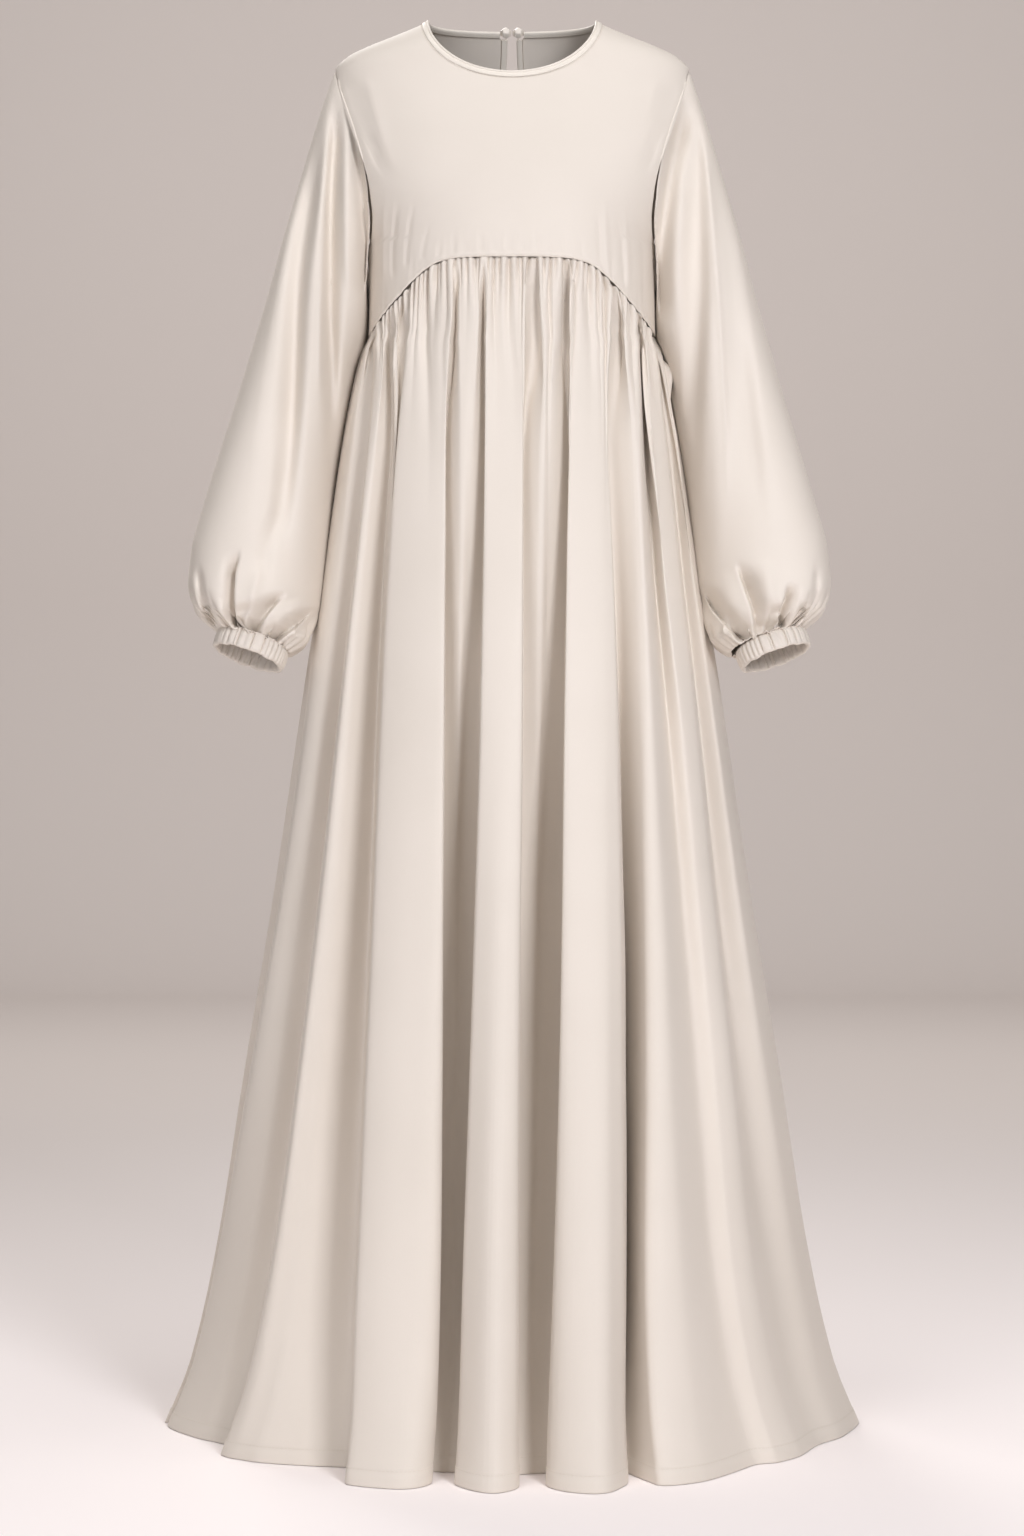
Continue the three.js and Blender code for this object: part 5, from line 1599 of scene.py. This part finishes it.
@dataclass(frozen=True)
class StitchRow:
    """A row of machine stitches: short threads that lie on the cloth and dip in at their ends."""

    name: str
    line: Array
    normals: Array
    pitch: float = 3.2
    gap: float = 0.7
    thread: float = 0.2
    sides: int = 5
    # Along a stitch: shares of its length, of the thread's thickness, and heights on the cloth.
    shares: tuple[float, ...] = (0.0, 0.2, 0.8, 1.0)
    sizes: tuple[float, ...] = (0.45, 1, 1, 0.45)
    heights: tuple[float, ...] = (-0.12, 0.16, 0.16, -0.12)

    def build(self, material: bpy.types.Material) -> bpy.types.Object:
        """Makes the row.

        Args:
            material: The thread.

        Returns:
            The finished object.
        """
        steps = np.linalg.norm(np.diff(self.line, axis=0), axis=1)
        run = np.concatenate([[0], np.cumsum(steps)])
        count = int(run[-1] / self.pitch)
        starts = (np.arange(count) + 0.5) * self.pitch
        places = starts[:, None] + (self.pitch - self.gap) * (np.array(self.shares) - 0.5)
        middle = np.stack([np.interp(places, run, self.line[:, k]) for k in range(3)], axis=-1)
        out = np.stack([np.interp(places, run, self.normals[:, k]) for k in range(3)], axis=-1)
        out = unit(out)
        along = unit(middle[:, -1:] - middle[:, :1])
        across = unit(np.cross(out, along))
        turns = np.arange(self.sides) * 2 * np.pi / self.sides
        size = self.thread * np.array(self.sizes)[None, :, None, None]
        lift = np.array(self.heights)[None, :, None]
        ring = (
            across[:, :, None] * np.cos(turns)[:, None] + out[:, :, None] * np.sin(turns)[:, None])
        points = (middle + out * lift)[:, :, None] + ring * size
        one = capped_tube(len(self.shares), self.sides)
        corners = len(self.shares) * self.sides
        faces = [[k + n * corners for k in face] for n in range(count) for face in one]
        piece = new_piece(f"{self.name}_stitches", points, faces)
        face_outwards(piece)
        settle_piece(piece, material, ())
        return piece


def neck_stations() -> Stations:
    """The neck edge, from one side of the keyhole round the front to the other.

    Returns:
        The stations.
    """
    keyhole_share = 0.462
    back = np.linspace(keyhole_share, 0, 60)[:-1]
    front = np.linspace(0, 1, 170)
    points, normals, toward = [], [], []
    for side, turns in (
        (Side.BACK, 1 - back), (Side.FRONT, front[::-1]), (Side.BACK, back[::-1])
    ):
        share = FORM.neck_start + (1 - 2 * FORM.neck_start) * turns
        share = np.clip(share, FORM.neck_start, 1 - FORM.neck_start)
        angle, drop = FORM.top_edge(side, share)
        here = FORM.point(side, angle, drop)
        points.append(here)
        normals.append(FORM.normal(side, np.clip(angle, -88, 88), drop))
        # The neck's hole lies inwards and up from every point of its edge.
        toward.append(np.stack([-here[:, 0], -here[:, 1], 0 * angle + 2 * FORM.neck_half], axis=-1))
    return stations_along(*(np.concatenate(part) for part in (points, normals, toward)))


def keyhole_stations() -> Stations:
    """The edge of the keyhole, from its top on the wearer's right round to the left.

    Returns:
        The stations, which start below the knobs.
    """
    knob_clear = 4.9
    x, drop = KEYHOLE.edge(np.linspace(0, 1, 201), KEYHOLE.room)
    drop = np.maximum(drop, knob_clear)
    angle = FORM.angle_at(x, drop)
    toward = np.stack([-x, 0 * x, drop - KEYHOLE.wide_drop], axis=-1)
    points = FORM.point(Side.BACK, angle, drop)
    return stations_along(points, FORM.normal(Side.BACK, angle, drop), toward)


SKIRTS = {
    Side.FRONT: SkirtPanel(
        "skirt_front", Side.FRONT, FRONT_LINES,
        Gathering(66, 3, 6.2, 42.0, width=1.9, spread=0.03, rise=2.4, rise_length=46,
                  long_share=0.4), (1.51, 1.25), 1.45),
    Side.BACK: SkirtPanel(
        "skirt_back", Side.BACK, BACK_LINES,
        Gathering(58, 11, 6.0, 40.0, width=1.9, spread=0.03, rise=2.4, rise_length=46,
                  long_share=0.4), (1.73, 1.22), 1.39),
}


@dataclass(frozen=True)
class Knob:
    """A small faceted button with softened edges."""

    name: str
    bevel: float = 0.55
    bevel_steps: int = 3
    flat_angle: float = 5.0
    edge_angle: float = 35.0

    def build(self, material: bpy.types.Material) -> bpy.types.Object:
        """Makes the knob from a merged copy of its CAD node.

        Args:
            material: The moulded plastic.

        Returns:
            The finished object.
        """
        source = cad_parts[self.name]
        piece = bpy.data.objects.new(f"{self.name}_facets", source.data.copy())
        bpy.context.scene.collection.objects.link(piece)
        merge_doubles(piece)
        select_only(piece)
        bpy.ops.object.mode_set(mode="EDIT")
        bpy.ops.mesh.select_all(action="SELECT")
        bpy.ops.mesh.dissolve_limited(angle_limit=math.radians(self.flat_angle))
        bpy.ops.object.mode_set(mode="OBJECT")
        edge = piece.modifiers.new("edge", "BEVEL")
        edge.width = self.bevel * MM
        edge.segments = self.bevel_steps
        bpy.ops.object.modifier_apply(modifier=edge.name)
        bpy.ops.object.shade_smooth_by_angle(angle=math.radians(self.edge_angle))
        settle_piece(piece, material, (self.name,))
        return piece


# Finishes


def linear(hex_colour: str) -> tuple[float, float, float, float]:
    """An sRGB hex colour as linear light.

    Args:
        hex_colour: Six hex digits after a hash sign.

    Returns:
        Red, green, blue and an alpha of 1.
    """
    parts = [int(hex_colour[i:i + 2], 16) / 255 for i in (1, 3, 5)]
    bent = [p / 12.92 if p <= 0.04045 else ((p + 0.055) / 1.055) ** 2.4 for p in parts]
    return (*bent, 1.0)


def add_node(
    tree: bpy.types.NodeTree, kind: str, settings: dict[str | int, object],
    links: dict[str | int, object],
) -> bpy.types.Node:
    """Adds a node.

    Args:
        tree: The material's node tree.
        kind: The node's type.
        settings: Its properties, and its input values by socket name.
        links: Sockets to connect to its inputs, by socket name.

    Returns:
        The node.
    """
    node = tree.nodes.new(kind)
    for name, value in settings.items():
        if isinstance(name, int) or name in node.inputs:
            node.inputs[name].default_value = value
        else:
            setattr(node, name, value)
    for name, source in links.items():
        tree.links.new(source, node.inputs[name])
    return node


def blend(
    tree: bpy.types.NodeTree, share: bpy.types.NodeSocket, first: str, second: str
) -> bpy.types.NodeSocket:
    """A colour between two hex colours.

    Args:
        tree: The material's node tree.
        share: The share of the second colour, from 0 to 1.
        first: The first colour.
        second: The second colour.

    Returns:
        The colour.
    """
    # Sockets 6 and 7 of this node are its two colours, and output 2 is the colour between them.
    settings = {"data_type": "RGBA", 6: linear(first), 7: linear(second)}
    return add_node(tree, "ShaderNodeMix", settings, {0: share}).outputs[2]


def set_inputs(shader: bpy.types.Node, values: dict[str, object]) -> None:
    """Sets inputs of a shader that are the same all over."""
    for name, value in values.items():
        shader.inputs[name].default_value = value


def new_material(name: str) -> tuple[bpy.types.Material, bpy.types.NodeTree, bpy.types.Node]:
    """A material with a surface shader.

    Args:
        name: What the material is.

    Returns:
        The material, its node tree and its shader.
    """
    material = bpy.data.materials.new(name)
    material.use_nodes = True
    tree = material.node_tree
    return material, tree, tree.nodes["Principled BSDF"]


@dataclass(frozen=True)
class CrepeFinish:
    """Satin-back crepe: a limp woven cloth of hard-twisted yarn with a soft, low sheen."""

    name: str
    light: str
    shade: str
    roughness: float = 0.6
    sheen: float = 0.25
    grain_mm: float = 1.1
    cloud_mm: float = 160.0
    grain_share: float = 0.35
    bump_strength: float = 0.12
    bump_depth: float = 0.0003
    specular: float = 0.35
    sheen_roughness: float = 0.45
    sheen_tint: str = "#FFF6EC"

    def build(self) -> bpy.types.Material:
        """Makes the material.

        Returns:
            The material.
        """
        material, tree, shader = new_material(self.name)
        place = add_node(tree, "ShaderNodeTexCoord", {}, {}).outputs["Object"]
        # Dye takes a little unevenly across a length of cloth.
        cloud = add_node(
            tree, "ShaderNodeTexNoise",
            {"Scale": 1 / (self.cloud_mm * MM), "Detail": 2.0, "Roughness": 0.5}, {"Vector": place})
        # The grain of hard-twisted yarn is 0.3 mm and is drawn about three times as coarse.
        grain = add_node(
            tree, "ShaderNodeTexNoise",
            {"Scale": 1 / (self.grain_mm * MM), "Detail": 2.0, "Roughness": 0.6}, {"Vector": place})
        tone = add_node(
            tree, "ShaderNodeMath", {"operation": "MULTIPLY_ADD", 1: self.grain_share},
            {0: grain.outputs["Fac"], 2: cloud.outputs["Fac"]})
        colour = blend(tree, tone.outputs[0], self.shade, self.light)
        tree.links.new(colour, shader.inputs["Base Color"])
        bump = add_node(
            tree, "ShaderNodeBump", {"Strength": self.bump_strength, "Distance": self.bump_depth},
            {"Height": grain.outputs["Fac"]})
        tree.links.new(bump.outputs["Normal"], shader.inputs["Normal"])
        set_inputs(shader, {
            "Roughness": self.roughness, "Specular IOR Level": self.specular,
            "Sheen Weight": self.sheen, "Sheen Roughness": self.sheen_roughness,
            "Sheen Tint": linear(self.sheen_tint)})
        return material


@dataclass(frozen=True)
class PearlPlastic:
    """Moulded pearly plastic: a hard smooth skin with a clear highlight on each facet."""

    name: str = "pearl_plastic"
    shade: str = "#E6DCCF"
    light: str = "#F4ECE2"
    swirl_mm: float = 5.0
    roughness: float = 0.28
    coat: float = 0.3

    def build(self) -> bpy.types.Material:
        """Makes the material.

        Returns:
            The material.
        """
        material, tree, shader = new_material(self.name)
        place = add_node(tree, "ShaderNodeTexCoord", {}, {}).outputs["Object"]
        swirl = add_node(
            tree, "ShaderNodeTexNoise",
            {"Scale": 1 / (self.swirl_mm * MM), "Detail": 3.0, "Distortion": 1.2},
            {"Vector": place})
        colour = blend(tree, swirl.outputs["Fac"], self.shade, self.light)
        tree.links.new(colour, shader.inputs["Base Color"])
        set_inputs(shader, {"Roughness": self.roughness, "Coat Weight": self.coat})
        return material


@dataclass(frozen=True)
class SpunThread:
    """Spun polyester sewing thread, matched to the cloth and a little darker."""

    name: str = "spun_polyester_thread"
    colour: str = "#D6CCBE"
    roughness: float = 0.55

    def build(self) -> bpy.types.Material:
        """Makes the material.

        Returns:
            The material.
        """
        material, _, shader = new_material(self.name)
        set_inputs(shader, {"Base Color": linear(self.colour), "Roughness": self.roughness})
        return material


@dataclass(frozen=True)
class PaperWithPaintedFalloff:
    """Seamless studio paper: matt, pale and a little warm, with painted shade: lighter near the
    front and darker further back, standing in for the light's fall-off.
    """

    name: str
    near: str
    far: str
    start: float
    end: float
    roughness: float = 0.9
    specular: float = 0.1

    def build(self) -> bpy.types.Material:
        """Makes the material.

        Returns:
            The material.
        """
        material, tree, shader = new_material(self.name)
        place = add_node(tree, "ShaderNodeTexCoord", {}, {}).outputs["Object"]
        parts = add_node(tree, "ShaderNodeSeparateXYZ", {}, {"Vector": place})
        # Painted shade: the colour runs from the near one, light at the front, to the far one,
        # darker further back along y, in place of the light falling off with distance.
        share = add_node(
            tree, "ShaderNodeMapRange",
            {"From Min": self.start, "From Max": self.end, "interpolation_type": "SMOOTHSTEP"},
            {"Value": parts.outputs["Y"]})
        colour = blend(tree, share.outputs["Result"], self.near, self.far)
        tree.links.new(colour, shader.inputs["Base Color"])
        set_inputs(shader, {"Roughness": self.roughness, "Specular IOR Level": self.specular})
        return material


# The studio


@dataclass(frozen=True)
class Studio:
    """A camera in front, a seamless paper sweep and soft lights."""

    lens: float = 74.5
    sweep_start: float = 6.3
    sweep_radius: float = 1.3
    sweep_half: float = 5.0
    sweep_top: float = 4.0
    near_edge: float = -4.2
    floor_gap: float = 0.0005
    bend_rows: int = 25
    columns: int = 5
    clip_end: float = 50.0

    def camera(self) -> None:
        """Puts the camera at the viewing distance, level, at the height of the middle."""
        bpy.ops.object.select_all(action="DESELECT")
        bpy.ops.object.camera_add(
            location=(0, -VIEW_DISTANCE * MM, VIEW_LEVEL * MM), rotation=(math.pi / 2, 0, 0))
        camera = bpy.context.object
        camera.name = "view"
        camera.data.lens = self.lens
        camera.data.clip_end = self.clip_end
        bpy.context.scene.camera = camera

    def backdrop(self, material: bpy.types.Material) -> None:
        """Makes the paper: a floor that curves up into a wall.

        Args:
            material: The paper.
        """
        floor = -HEM_DROP * MM - self.floor_gap
        bends = np.linspace(0, np.pi / 2, self.bend_rows)
        bend_ys = self.sweep_start + self.sweep_radius * np.sin(bends)
        bend_zs = floor + self.sweep_radius * (1 - np.cos(bends))
        ys = np.concatenate([[self.near_edge], bend_ys, bend_ys[-1:]])
        zs = np.concatenate([[floor], bend_zs, [self.sweep_top]])
        xs = np.linspace(-self.sweep_half, self.sweep_half, self.columns)
        grid = np.stack([
            np.broadcast_to(xs, (len(ys), len(xs))),
            np.broadcast_to(ys[:, None], (len(ys), len(xs))),
            np.broadcast_to(zs[:, None], (len(ys), len(xs))),
        ], axis=-1) / MM
        paper = new_piece("paper_sweep", grid, grid_faces(*grid.shape[:2], False, True))
        select_only(paper)
        bpy.ops.object.shade_smooth()
        paper.data.materials.append(material)

    def light(self, name: str, place: tuple[float, float, float], aim: tuple[float, float, float],
              size: tuple[float, float], power: float, colour: str,
              spread: float = 180) -> None:
        """Adds a soft box.

        Args:
            name: The light's name.
            place: Where it stands, in metres.
            aim: What it points at.
            size: Its width and height.
            power: Its power in watts.
            colour: Its colour.
            spread: The full angle in degrees that its grid lets through.
        """
        bpy.ops.object.select_all(action="DESELECT")
        bpy.ops.object.light_add(type="AREA", location=place)
        lamp = bpy.context.object
        lamp.name = name
        away = np.array(place) - np.array(aim)
        flat = math.hypot(away[0], away[1])
        lamp.rotation_euler = (math.atan2(flat, away[2]), 0, math.atan2(away[0], -away[1]))
        lamp.data.shape = "RECTANGLE"
        lamp.data.size, lamp.data.size_y = size
        lamp.data.energy = power
        lamp.data.spread = math.radians(spread)
        lamp.data.color = linear(colour)[:3]

    def sky(self, colour: str, strength: float) -> None:
        """Adds even light from all round.

        Args:
            colour: Its colour.
            strength: Its strength.
        """
        world = bpy.data.worlds.new("studio")
        world.use_nodes = True
        shader = world.node_tree.nodes["Background"]
        shader.inputs["Color"].default_value = linear(colour)
        shader.inputs["Strength"].default_value = strength
        bpy.context.scene.world = world

    def build(self) -> None:
        """Sets up the backdrop and lights."""
        # The paper is painted lighter near the front and darker towards the back, as painted shade
        # of the light falling off.
        self.backdrop(PaperWithPaintedFalloff("studio_paper_painted_falloff", "#FAF3F1", "#DAD2CD", -0.4, 4.0).build())
        self.light("key", (1.45, -3.25, 0.65), (0, 0, -0.75), (0.9, 1.4), 80, "#F8F9FF")
        self.light("fill", (-1.9, -3.8, 0.0), (0, 0, -0.9), (1.8, 2.2), 42, "#F8F9FF")
        self.light("top", (0, -0.9, 5.6), (0, -0.8, -1.5), (3.0, 3.0), 185, "#FFFBF9")
        self.light("rear", (-1.3, 3.3, 2.5), (0, 0, -0.7), (1.6, 1.8), 9, "#FFFBF9",
                   spread=60)
        self.light("wall", (0, 3.0, 2.6), (0, 7.6, -1.2), (7.0, 1.2), 140, "#FFFBF9")
        self.sky("#F4F1F1", 0.14)
        bpy.context.scene.view_settings.view_transform = "Standard"


# The creases of each piece, as x and z in millimetres in the view from its side.
FRONT_BODICE_CREASES = (
    Crease(((-170, -58), (-162, -85), (-155, -115), (-146, -150), (-126, -177)),
           2.8, 3.5, 6, (0.12, 0.45)),
    Crease(((-160, -60), (-152, -85), (-144, -115), (-134, -145), (-116, -169)),
           -2.0, 3.5, 8, (0.12, 0.45)),
    Crease(((167, -60), (163, -87), (157, -117), (149, -150), (133, -175)),
           2.2, 6, 3.5, (0.12, 0.45)),
    Crease(((158, -61), (154, -87), (148, -131), (138, -158)), -1.6, 7, 3.5, (0.12, 0.45)),
    Crease(((-118, -182), (-125, -215), (-128, -259), (-127, -280)), 1.7, 2.4, 2.8, (0.5, 0.15)),
    Crease(((-103, -188), (-110, -223), (-113, -259), (-113, -269)), 1.4, 2.2, 2.4, (0.5, 0.15)),
    Crease(((-88, -216), (-95, -244), (-97, -259)), 1.1, 2, 2, (0.5, 0.15)),
    Crease(((-134, -179), (-138, -224), (-138, -289)), -1.3, 2.6, 3, (0.5, 0.2)),
    Crease(((90, -194), (93, -231), (94, -265)), 1.0, 2, 2.2, (0.5, 0.15)),
    Crease(((98, -185), (101, -235), (103, -278)), -1.3, 2.4, 3, (0.5, 0.15)),
    Crease(((111, -206), (117, -242), (120, -286)), 1.3, 2.2, 2.4, (0.5, 0.15)),
    Crease(((118, -191), (123, -235), (125, -295)), -1.3, 2.4, 3, (0.5, 0.15)),
    Crease(((137, -209), (140, -252), (141, -312)), 1.2, 3, 3, (0.5, 0.2)),
    Crease(((-76, -227), (-79, -254)), 0.8, 1.6, 2, (0.8, 0.1)),
    Crease(((-61, -220), (-63, -251)), 1.0, 1.8, 2, (0.8, 0.1)),
    Crease(((-48, -231), (-49, -249)), 0.8, 1.6, 1.6, (0.8, 0.1)),
    Crease(((-33, -216), (-34, -248)), 1.0, 1.8, 2, (0.8, 0.1)),
    Crease(((-19, -229), (-19, -248)), 0.8, 1.6, 1.6, (0.8, 0.1)),
    Crease(((-4, -220), (-4, -248)), 0.9, 1.8, 1.8, (0.8, 0.1)),
    Crease(((10, -231), (11, -248)), 0.8, 1.6, 1.6, (0.8, 0.1)),
    Crease(((26, -218), (27, -249)), 1.0, 2, 1.8, (0.8, 0.1)),
    Crease(((40, -229), (42, -251)), 0.8, 1.6, 1.6, (0.8, 0.1)),
    Crease(((55, -218), (58, -253)), 1.0, 2, 1.8, (0.8, 0.1)),
    Crease(((72, -224), (76, -259)), 0.9, 1.8, 1.6, (0.8, 0.1)),
)
BACK_BODICE_CREASES = (
    Crease(((-167, -60), (-158, -94), (-150, -128), (-133, -169)), 2.4, 4, 7, (0.15, 0.45)),
    Crease(((167, -60), (160, -90), (153, -124), (137, -162)), 2.6, 7, 4, (0.15, 0.45)),
    Crease(((-116, -192), (-122, -235), (-124, -282)), 1.6, 2.4, 2.8, (0.5, 0.15)),
    Crease(((-94, -216), (-98, -246), (-99, -280)), 1.2, 2, 2.4, (0.5, 0.15)),
    Crease(((-71, -227), (-73, -280)), 1.1, 2, 2, (0.6, 0.12)),
    Crease(((-45, -239), (-46, -280)), 0.9, 1.8, 2, (0.7, 0.12)),
    Crease(((-15, -233), (-15, -280)), 1.1, 2, 2, (0.6, 0.12)),
    Crease(((16, -242), (17, -280)), 0.9, 1.8, 1.8, (0.7, 0.12)),
    Crease(((47, -227), (49, -280)), 1.2, 2.2, 2, (0.6, 0.12)),
    Crease(((77, -220), (81, -282)), 1.3, 2.4, 2, (0.6, 0.12)),
    Crease(((107, -201), (114, -284)), 1.6, 2.6, 2.4, (0.5, 0.15)),
)
RIGHT_SLEEVE_CREASES = (
    Crease(((-198, -94), (-208, -144), (-217, -196), (-225, -246), (-230, -297), (-234, -374),
            (-238, -450), (-242, -503), (-245, -552), (-245, -594)),
           17, 11, 9, (0.2, 0.4)),
    Crease(((-248, -513), (-261, -556), (-267, -610)), 4, 12, 8, (0.4, 0.4)),
    Crease(((-198, -139), (-201, -218), (-206, -327), (-207, -423)), -2.7, 2.4, 4, (0.3, 0.3)),
    Crease(((-189, -77), (-190, -118), (-194, -170), (-196, -221), (-196, -297), (-194, -374),
            (-194, -460), (-197, -535)),
           19, 6, 9, (0.15, 0.45)),
    Crease(((-179, -140), (-177, -253), (-169, -317)), -3, 4, 5, (0.3, 0.4)),
    Crease(((-178, -85), (-168, -128), (-162, -171), (-158, -221), (-156, -262), (-155, -297)),
           17, 8, 6, (0.3, 0.1)),
    Crease(((-243, -449), (-248, -513), (-261, -577)), 4, 7, 9, (0.4, 0.4)),
    Crease(((-293, -565), (-296, -594), (-297, -620), (-294, -654)), 18, 9, 3, (0.35, 0.15), lap=5),
    Crease(((-281, -620), (-288, -640), (-289, -659)), 11, 7, 4, (0.35, 0.15), lap=2),
    Crease(((-243, -610), (-255, -623), (-269, -642), (-277, -661)),
           20, 10, 4.5, (0.35, 0.15), lap=4),
    Crease(((-213, -627), (-227, -642), (-246, -657), (-261, -669)),
           19, 10, 4.5, (0.35, 0.15), lap=4),
    Crease(((-238, -659), (-247, -668), (-252, -678)), 4.8, 3.6, 2.9, (0.35, 0.15)),
    Crease(((-310, -616), (-310, -633), (-306, -654)), -4, 9, 9, (0.4, 0.15)),
    Crease(((-336, -580), (-334, -607), (-324, -637), (-315, -654)), 8, 3.9, 4.4, (0.3, 0.2)),
    Crease(((-267, -577), (-276, -610), (-280, -633)), -3.2, 6, 6, (0.4, 0.3)),
)
RIGHT_SLEEVE_BACK = (
    Crease(((-195, -96), (-208, -192), (-221, -299), (-238, -406), (-252, -503)),
           10.8, 10, 4, (0.15, 0.4)),
    Crease(((-210, -139), (-227, -235), (-244, -342), (-265, -449)), 7.2, 4, 9, (0.2, 0.4)),
    Crease(((-227, -385), (-242, -481), (-252, -577), (-257, -620)), 7.2, 7, 4, (0.3, 0.3)),
    Crease(((-306, -577), (-306, -620), (-300, -654)), 9, 4.5, 3, (0.35, 0.15)),
    Crease(((-278, -588), (-285, -627), (-287, -659)), 9, 4, 4, (0.35, 0.15)),
    Crease(((-244, -607), (-259, -637), (-272, -663)), 8.1, 4, 3, (0.35, 0.15)),
)
LEFT_SLEEVE_CREASES = (
    Crease(((187, -75), (179, -118), (171, -160), (166, -196), (162, -235), (159, -289),
            (159, -331)),
           21, 9, 10, (0.2, 0.15)),
    Crease(((192, -77), (198, -139), (201, -208), (202, -271), (200, -342), (197, -406),
            (193, -502), (190, -577)),
           14, 19, 7.5, (0.15, 0.4)),
    Crease(((202, -96), (212, -192), (221, -299), (226, -381), (229, -449), (230, -535)),
           -1.8, 2.6, 3, (0.2, 0.3)),
    Crease(((240, -299), (252, -406), (262, -503), (265, -556)), 5, 20, 10, (0.4, 0.4)),
    Crease(((300, -601), (292, -618), (286, -635), (284, -654)), 17, 3, 8, (0.35, 0.15), lap=5),
    Crease(((286, -622), (277, -637), (273, -657)), 12, 4, 7, (0.35, 0.15), lap=2),
    Crease(((242, -577), (250, -604), (259, -631), (263, -659)), 19, 4.5, 11, (0.35, 0.15), lap=4),
    Crease(((205, -603), (214, -625), (231, -646), (248, -667)), 20, 4.5, 11, (0.35, 0.15), lap=4),
    Crease(((225, -625), (238, -642), (250, -663)), 5.4, 3.9, 4.4, (0.4, 0.15)),
    Crease(((315, -620), (308, -637), (301, -652)), 8, 3.9, 4.4, (0.35, 0.15)),
    Crease(((327, -577), (325, -610), (315, -640)), 4.3, 3.6, 4.8, (0.4, 0.3)),
    Crease(((270, -573), (274, -610), (276, -633)), -4, 9, 9, (0.4, 0.3)),
)
LEFT_SLEEVE_BACK = (
    Crease(((197, -96), (212, -192), (227, -299), (242, -406), (255, -503)),
           10.8, 4, 10, (0.15, 0.4)),
    Crease(((214, -139), (233, -235), (252, -342), (272, -449)), 7.2, 9, 4, (0.2, 0.4)),
    Crease(((229, -396), (242, -492), (250, -577), (255, -620)), 7.2, 4, 7, (0.3, 0.3)),
    Crease(((306, -584), (304, -625), (295, -657)), 9, 3, 4.5, (0.35, 0.15)),
    Crease(((278, -590), (280, -629), (278, -661)), 9, 4, 4, (0.35, 0.15)),
    Crease(((246, -610), (257, -637), (265, -665)), 8.1, 3, 4, (0.35, 0.15)),
)


def main() -> None:
    """Builds the studio and the abaya."""
    logging.basicConfig(level=logging.INFO, format="%(message)s")
    studio = Studio()
    studio.camera()
    studio.build()
    crepe = CrepeFinish("satin_back_crepe", "#E0D7CC", "#D6CDC1").build()
    trim = CrepeFinish("bias_satin", "#E6DED2", "#DCD4C8", roughness=0.48, sheen=0.2).build()
    pearl = PearlPlastic().build()
    thread = SpunThread().build()
    for skirt in SKIRTS.values():
        report(skirt.build(crepe, thread))
    report(BodicePanel("bodice_front", Side.FRONT, FRONT_BODICE_CREASES, (0.42, 0.34), 0.107,
                       SKIRTS[Side.FRONT]).build(crepe))
    report(BodicePanel("bodice_back", Side.BACK, BACK_BODICE_CREASES, (0.42, 0.35), 0.13,
                       SKIRTS[Side.BACK]).build(crepe))
    for word, sign in (("left", 1), ("right", -1)):
        cuff = Cuff(f"cuff_{word}", sign)
        report(cuff.build(crepe))
        front = LEFT_SLEEVE_CREASES if sign > 0 else RIGHT_SLEEVE_CREASES
        back = LEFT_SLEEVE_BACK if sign > 0 else RIGHT_SLEEVE_BACK
        sleeve = Sleeve(f"sleeve_{word}", cuff, front, back, (0.48, 0.65), 0.24,
                        narrowing=5.0 if sign > 0 else 0.0)
        report(sleeve.build(crepe))
        report(Knob(f"neck_button_{word}").build(pearl))
    report(Binding("neck_binding", neck_stations()).build(trim))
    report(Binding("keyhole_binding", keyhole_stations()).build(trim))
    for name, stations in (("neck", neck_stations()), ("keyhole", keyhole_stations())):
        report(StitchRow(name, stations.place(-2.0, 0.12), stations.normals).build(thread))


if __name__ == "__main__":
    main()
